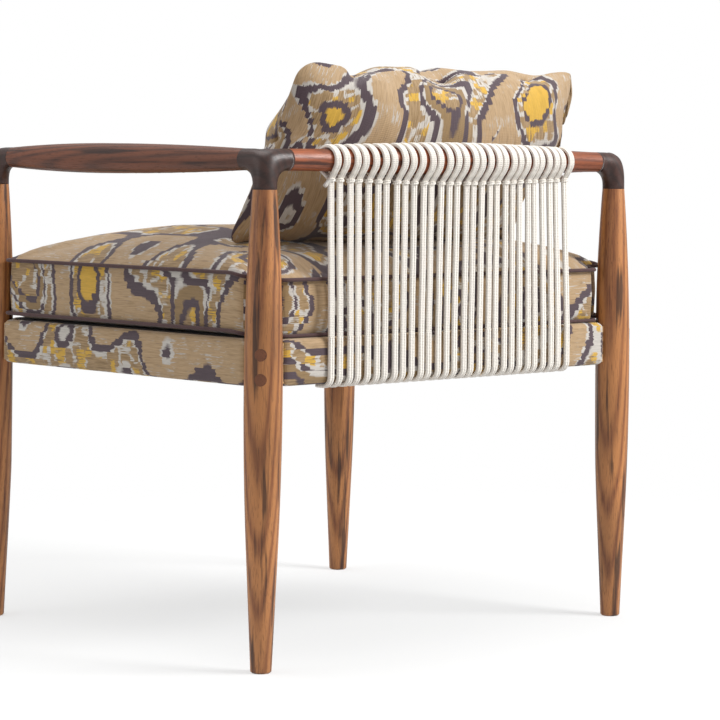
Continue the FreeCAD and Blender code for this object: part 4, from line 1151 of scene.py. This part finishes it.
def calm(mesh, seam, passes):
    """Smooth the cloth's small wrinkles, and its seam along itself but for its corners."""
    form = bmesh.new()
    form.from_mesh(mesh)
    form.verts.ensure_lookup_table()
    inner = [v for v in form.verts if v.index not in seam]
    for _ in range(passes):
        bmesh.ops.smooth_vert(form, verts=inner, factor=0.5, use_axis_x=True, use_axis_y=True,
                              use_axis_z=True)
        moved = []
        for number in seam:
            vertex = form.verts[number]
            beside = [e.other_vert(vertex) for e in vertex.link_edges]
            ways = [other.co - vertex.co for other in beside if other.index in seam]
            if len(ways) == 2 and ways[0].angle(ways[1]) > 2.1:
                moved.append((vertex, vertex.co + (ways[0] + ways[1]) / 4))
        for vertex, place in moved:
            vertex.co = place
    form.to_mesh(mesh)
    form.free()


def straighten(mesh, axis, along, half, dip):
    """Stretch the mesh across so that its outline, seen flat, only dips a little between its corners."""
    reach = max(abs(v.co[along]) for v in mesh.vertices)
    slices = 48
    for way in (1, -1):
        outline = [0.0] * (slices + 1)
        for vertex in mesh.vertices:
            spot = round((vertex.co[along] / reach + 1) / 2 * slices)
            outline[spot] = max(outline[spot], way * vertex.co[axis])
        factors = []
        for spot, edge in enumerate(outline):
            share = min(0.90, abs(2 * spot / slices - 1))
            factors.append((half - dip * (1 - share ** 2)) / max(edge, half * 0.5))
        ends = slices // 16
        factors[:ends] = [factors[ends]] * ends
        factors[-ends:] = [factors[-ends - 1]] * ends
        for _ in range(3):
            padded = [factors[0]] + factors + [factors[-1]]
            factors = [sum(padded[spot:spot + 3]) / 3 for spot in range(slices + 1)]
        for vertex in mesh.vertices:
            if way * vertex.co[axis] > 0:
                place = (vertex.co[along] / reach + 1) / 2 * slices
                spot = min(slices - 1, int(place))
                factor = factors[spot] + (factors[spot + 1] - factors[spot]) * (place - spot)
                vertex.co[axis] *= factor


def press_on_cords(mesh):
    """Keep the pillow's back outside the cord wound on the rail."""
    sizes = cords()
    for vertex in mesh.vertices:
        if abs(vertex.co.x) > sizes.first + 10 * MM:
            continue
        centre, radius = rail_section(vertex.co.x)
        clear = radius + sizes.thickness + sizes.play + 0.4 * MM
        away = Vector((0.0, vertex.co.y - centre.y, vertex.co.z - centre.z))
        if away.length < clear:
            vertex.co += away.normalized() * (clear - away.length)


def sink_foot(mesh, cushion, reach):
    """Let the pillow's lower part sag down until its seam lies on the cushion all along."""
    surface = BVHTree.FromObject(cushion, bpy.context.evaluated_depsgraph_get())
    low = min(v.co.x for v in mesh.vertices)
    width = max(v.co.x for v in mesh.vertices) - low
    columns = 40
    most = 30 * MM
    feet = [None] * (columns + 1)
    for vertex in mesh.vertices:
        column = round((vertex.co.x - low) / width * columns)
        if feet[column] is None or vertex.co.z < feet[column].z:
            feet[column] = vertex.co.copy()
    gaps = []
    for foot in feet:
        place = surface.ray_cast(Vector((foot.x, foot.y, 1.0)), -UP)[0]
        gaps.append(max(0.0, foot.z - place.z - 0.5 * MM) if place is not None else 0.0)
    for _ in range(3):
        padded = [gaps[0]] + gaps + [gaps[-1]]
        gaps = [sum(padded[number:number + 3]) / 3 for number in range(columns + 1)]
    for vertex in mesh.vertices:
        column = round((vertex.co.x - low) / width * columns)
        share = max(0.0, 1 - (vertex.co.z - feet[column].z) / reach)
        vertex.co.z -= min(gaps[column], most) * share ** 1.5


def rest_on_cushion(mesh, cushion):
    """Lift the pillow's foot onto the cushion's surface."""
    surface = BVHTree.FromObject(cushion, bpy.context.evaluated_depsgraph_get())
    for vertex in mesh.vertices:
        if vertex.co.z > CUSHION_HIGH.z + 40 * MM:
            continue
        place = surface.ray_cast(Vector((vertex.co.x, vertex.co.y, 1.0)), -UP)[0]
        if place is not None and vertex.co.z < place.z + 0.5 * MM:
            vertex.co.z = place.z + 0.5 * MM


class ARMCHAIR_OT_back_pillow(bpy.types.Operator):
    """Stuff the pillow and lean it on the corded rail"""
    bl_idname = "armchair.back_pillow"
    bl_label = "Back pillow"

    def execute(self, context):
        sizes = seat()
        piece = bpy.data.objects.new("stuffed_back_pillow", pillow_form())
        context.scene.collection.objects.link(piece)
        seam = {v.index for v in piece.data.vertices if abs(v.co.z) < 0.001 * MM}
        stuff(piece, 9.0, 32, lambda place: 1.0)
        mesh = piece.data.copy()
        calm(mesh, seam, 34)
        bpy.data.objects.remove(piece)
        fit_to(mesh, (sizes.pillow_width, sizes.pillow_height, sizes.pillow_thick))
        straighten(mesh, 1, 0, sizes.pillow_height / 2, 10 * MM)
        straighten(mesh, 0, 1, sizes.pillow_width / 2, 9 * MM)
        lean = sizes.pillow_lean
        low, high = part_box("back_pillow")
        upright = Matrix.Rotation(math.pi / 2 - lean, 4, "X")
        for vertex in mesh.vertices:
            vertex.co.x -= sizes.pillow_slant * vertex.co.y + sizes.pillow_aside
        mesh.transform(Matrix.Translation((low + high) / 2) @ upright)
        cushion = bpy.data.objects["stuffed_seat_cushion"]
        press_on_cords(mesh)
        sink_foot(mesh, cushion, sizes.pillow_height * math.cos(lean) * 0.45)
        rest_on_cushion(mesh, cushion)
        form = bmesh.new()
        form.from_mesh(mesh)
        bmesh.ops.subdivide_edges(form, edges=form.edges, cuts=1, smooth=0.6, use_grid_fill=True)
        pillow = add_piece("stuffed_back_pillow", mesh_from(form, "stuffed_back_pillow"), PILLOW_BODY,
                           tapestry_material(), ["back_pillow"])
        return {"FINISHED"}

    def bulge(self, mesh):
        wide = max(v.co.x for v in mesh.vertices)
        tall = max(v.co.y for v in mesh.vertices)
        for vertex in mesh.vertices:
            x, y = vertex.co.x / wide, vertex.co.y / tall
            full = max(0.0, (1 - x ** 4) * (1 - y ** 2)) ** 0.5
            vertex.co.z = math.copysign(full, vertex.co.z) * 0.073 if abs(vertex.co.z) > 1e-6 else 0.0


# ------------------------------------------------------------------ stage


class ARMCHAIR_OT_stage(bpy.types.Operator):
    """Set the camera, the pale floor and the soft studio light"""
    bl_idname = "armchair.stage"
    bl_label = "Stage"

    def execute(self, context):
        scene = context.scene
        scene.view_settings.view_transform = "Standard"
        self.set_camera(scene)
        self.lay_floor(scene)
        self.hang_lights(scene)
        return {"FINISHED"}

    def set_camera(self, scene):
        lens = bpy.data.cameras.new("Camera")
        lens.lens = CAMERA_LENS
        lens.sensor_width = 36.0
        lens.shift_y = CAMERA_SHIFT
        lens.clip_start = 0.1
        lens.clip_end = 100.0
        camera = bpy.data.objects.new("Camera", lens)
        view = CAMERA_WAY.normalized()
        right = view.cross(UP)
        across = right * math.cos(CAMERA_ROLL) + UP * math.sin(CAMERA_ROLL)
        over = UP * math.cos(CAMERA_ROLL) - right * math.sin(CAMERA_ROLL)
        turn = Matrix((across, over, -view)).transposed().to_4x4()
        camera.matrix_world = Matrix.Translation(CAMERA_PLACE) @ turn
        scene.collection.objects.link(camera)
        scene.camera = camera

    def lay_floor(self, scene):
        form = bmesh.new()
        bmesh.ops.create_grid(form, x_segments=8, y_segments=8, size=14.0)
        floor = bpy.data.objects.new("studio_floor", mesh_from(form, "studio_floor"))
        scene.collection.objects.link(floor)
        made, tree, shader = new_material("Studio floor")
        place = tree.nodes.new("ShaderNodeTexCoord").outputs["Object"]
        pale = blend_colours(tree, clouds(tree, place, 2.0, 1.0), (0.90, 0.90, 0.90, 1.0),
                             (0.92, 0.92, 0.92, 1.0))
        tree.links.new(pale, shader.inputs["Base Color"])
        shader.inputs["Roughness"].default_value = 0.9
        shader.inputs["Specular IOR Level"].default_value = 0.1
        reach = add_node(tree, "ShaderNodeVectorMath", {0: place}, operation="LENGTH").outputs["Value"]
        tree.links.new(remap(tree, reach, 1.5, 0.7, 0.0, 0.42), shader.inputs["Alpha"])
        floor.data.materials.append(made)

    def hang_lights(self, scene):
        world = bpy.data.worlds.new("Studio")
        world.use_nodes = True
        tree = world.node_tree
        tree.nodes.clear()
        ambient = add_node(tree, "ShaderNodeBackground", {"Color": (1.0, 1.0, 1.0, 1.0), "Strength": 0.54})
        backdrop = add_node(tree, "ShaderNodeBackground", {"Color": (1.0, 1.0, 1.0, 1.0), "Strength": 1.0})
        seen = tree.nodes.new("ShaderNodeLightPath").outputs["Is Camera Ray"]
        both = add_node(tree, "ShaderNodeMixShader",
                        {0: seen, 1: ambient.outputs[0], 2: backdrop.outputs[0]})
        output = tree.nodes.new("ShaderNodeOutputWorld")
        tree.links.new(both.outputs[0], output.inputs["Surface"])
        scene.world = world
        centre = Vector((0.0, 0.0, 0.4))
        for name, place, size, power in (
                ("Key", Vector((-1.6, 2.6, 2.4)), 1.6, 118.0),
                ("Top", Vector((0.3, -0.4, 3.2)), 2.4, 42.0),
                ("Fill", Vector((3.2, -1.2, 1.6)), 2.0, 12.0)):
            lamp = bpy.data.lights.new(name, "AREA")
            lamp.shape = "SQUARE"
            lamp.size = size
            lamp.energy = power
            holder = bpy.data.objects.new(name, lamp)
            holder.matrix_world = (Matrix.Translation(place)
                                   @ (centre - place).to_track_quat("-Z", "Y").to_matrix().to_4x4())
            scene.collection.objects.link(holder)


class ARMCHAIR_PT_pieces(bpy.types.Panel):
    """The armchair's pieces and their sizes"""
    bl_label = "Spindle armchair"
    bl_idname = "ARMCHAIR_PT_pieces"
    bl_space_type = "VIEW_3D"
    bl_region_type = "UI"
    bl_category = "Armchair"

    def draw(self, context):
        for group in (cords(), seat(), colours()):
            column = self.layout.column(align=True)
            for word in group.__annotations__:
                column.prop(group, word)
        for operator in OPERATORS:
            self.layout.operator(operator.bl_idname)


OPERATORS = (ARMCHAIR_OT_stage, ARMCHAIR_OT_back_cords, ARMCHAIR_OT_turned_wood,
             ARMCHAIR_OT_corner_joints, ARMCHAIR_OT_seat_frame, ARMCHAIR_OT_seat_covers,
             ARMCHAIR_OT_seat_panels, ARMCHAIR_OT_seat_cushion, ARMCHAIR_OT_back_pillow)
GROUPS = {"armchair_cords": ArmchairCordSizes, "armchair_seat": ArmchairSeatSizes,
          "armchair_colours": ArmchairColours}


def register():
    for group in GROUPS.values():
        bpy.utils.register_class(group)
    for operator in OPERATORS:
        bpy.utils.register_class(operator)
    bpy.utils.register_class(ARMCHAIR_PT_pieces)
    for word, group in GROUPS.items():
        setattr(bpy.types.Scene, word, PointerProperty(type=group))


def unregister():
    for word in GROUPS:
        delattr(bpy.types.Scene, word)
    bpy.utils.unregister_class(ARMCHAIR_PT_pieces)
    for operator in reversed(OPERATORS):
        bpy.utils.unregister_class(operator)
    for group in reversed(list(GROUPS.values())):
        bpy.utils.unregister_class(group)


def main():
    register()
    bpy.ops.armchair.stage()
    bpy.ops.armchair.back_cords()
    bpy.ops.armchair.turned_wood()
    bpy.ops.armchair.corner_joints()
    bpy.ops.armchair.seat_frame()
    bpy.ops.armchair.seat_covers()
    bpy.ops.armchair.seat_panels()
    bpy.ops.armchair.seat_cushion()
    bpy.ops.armchair.back_pillow()


if __name__ == "__main__":
    main()
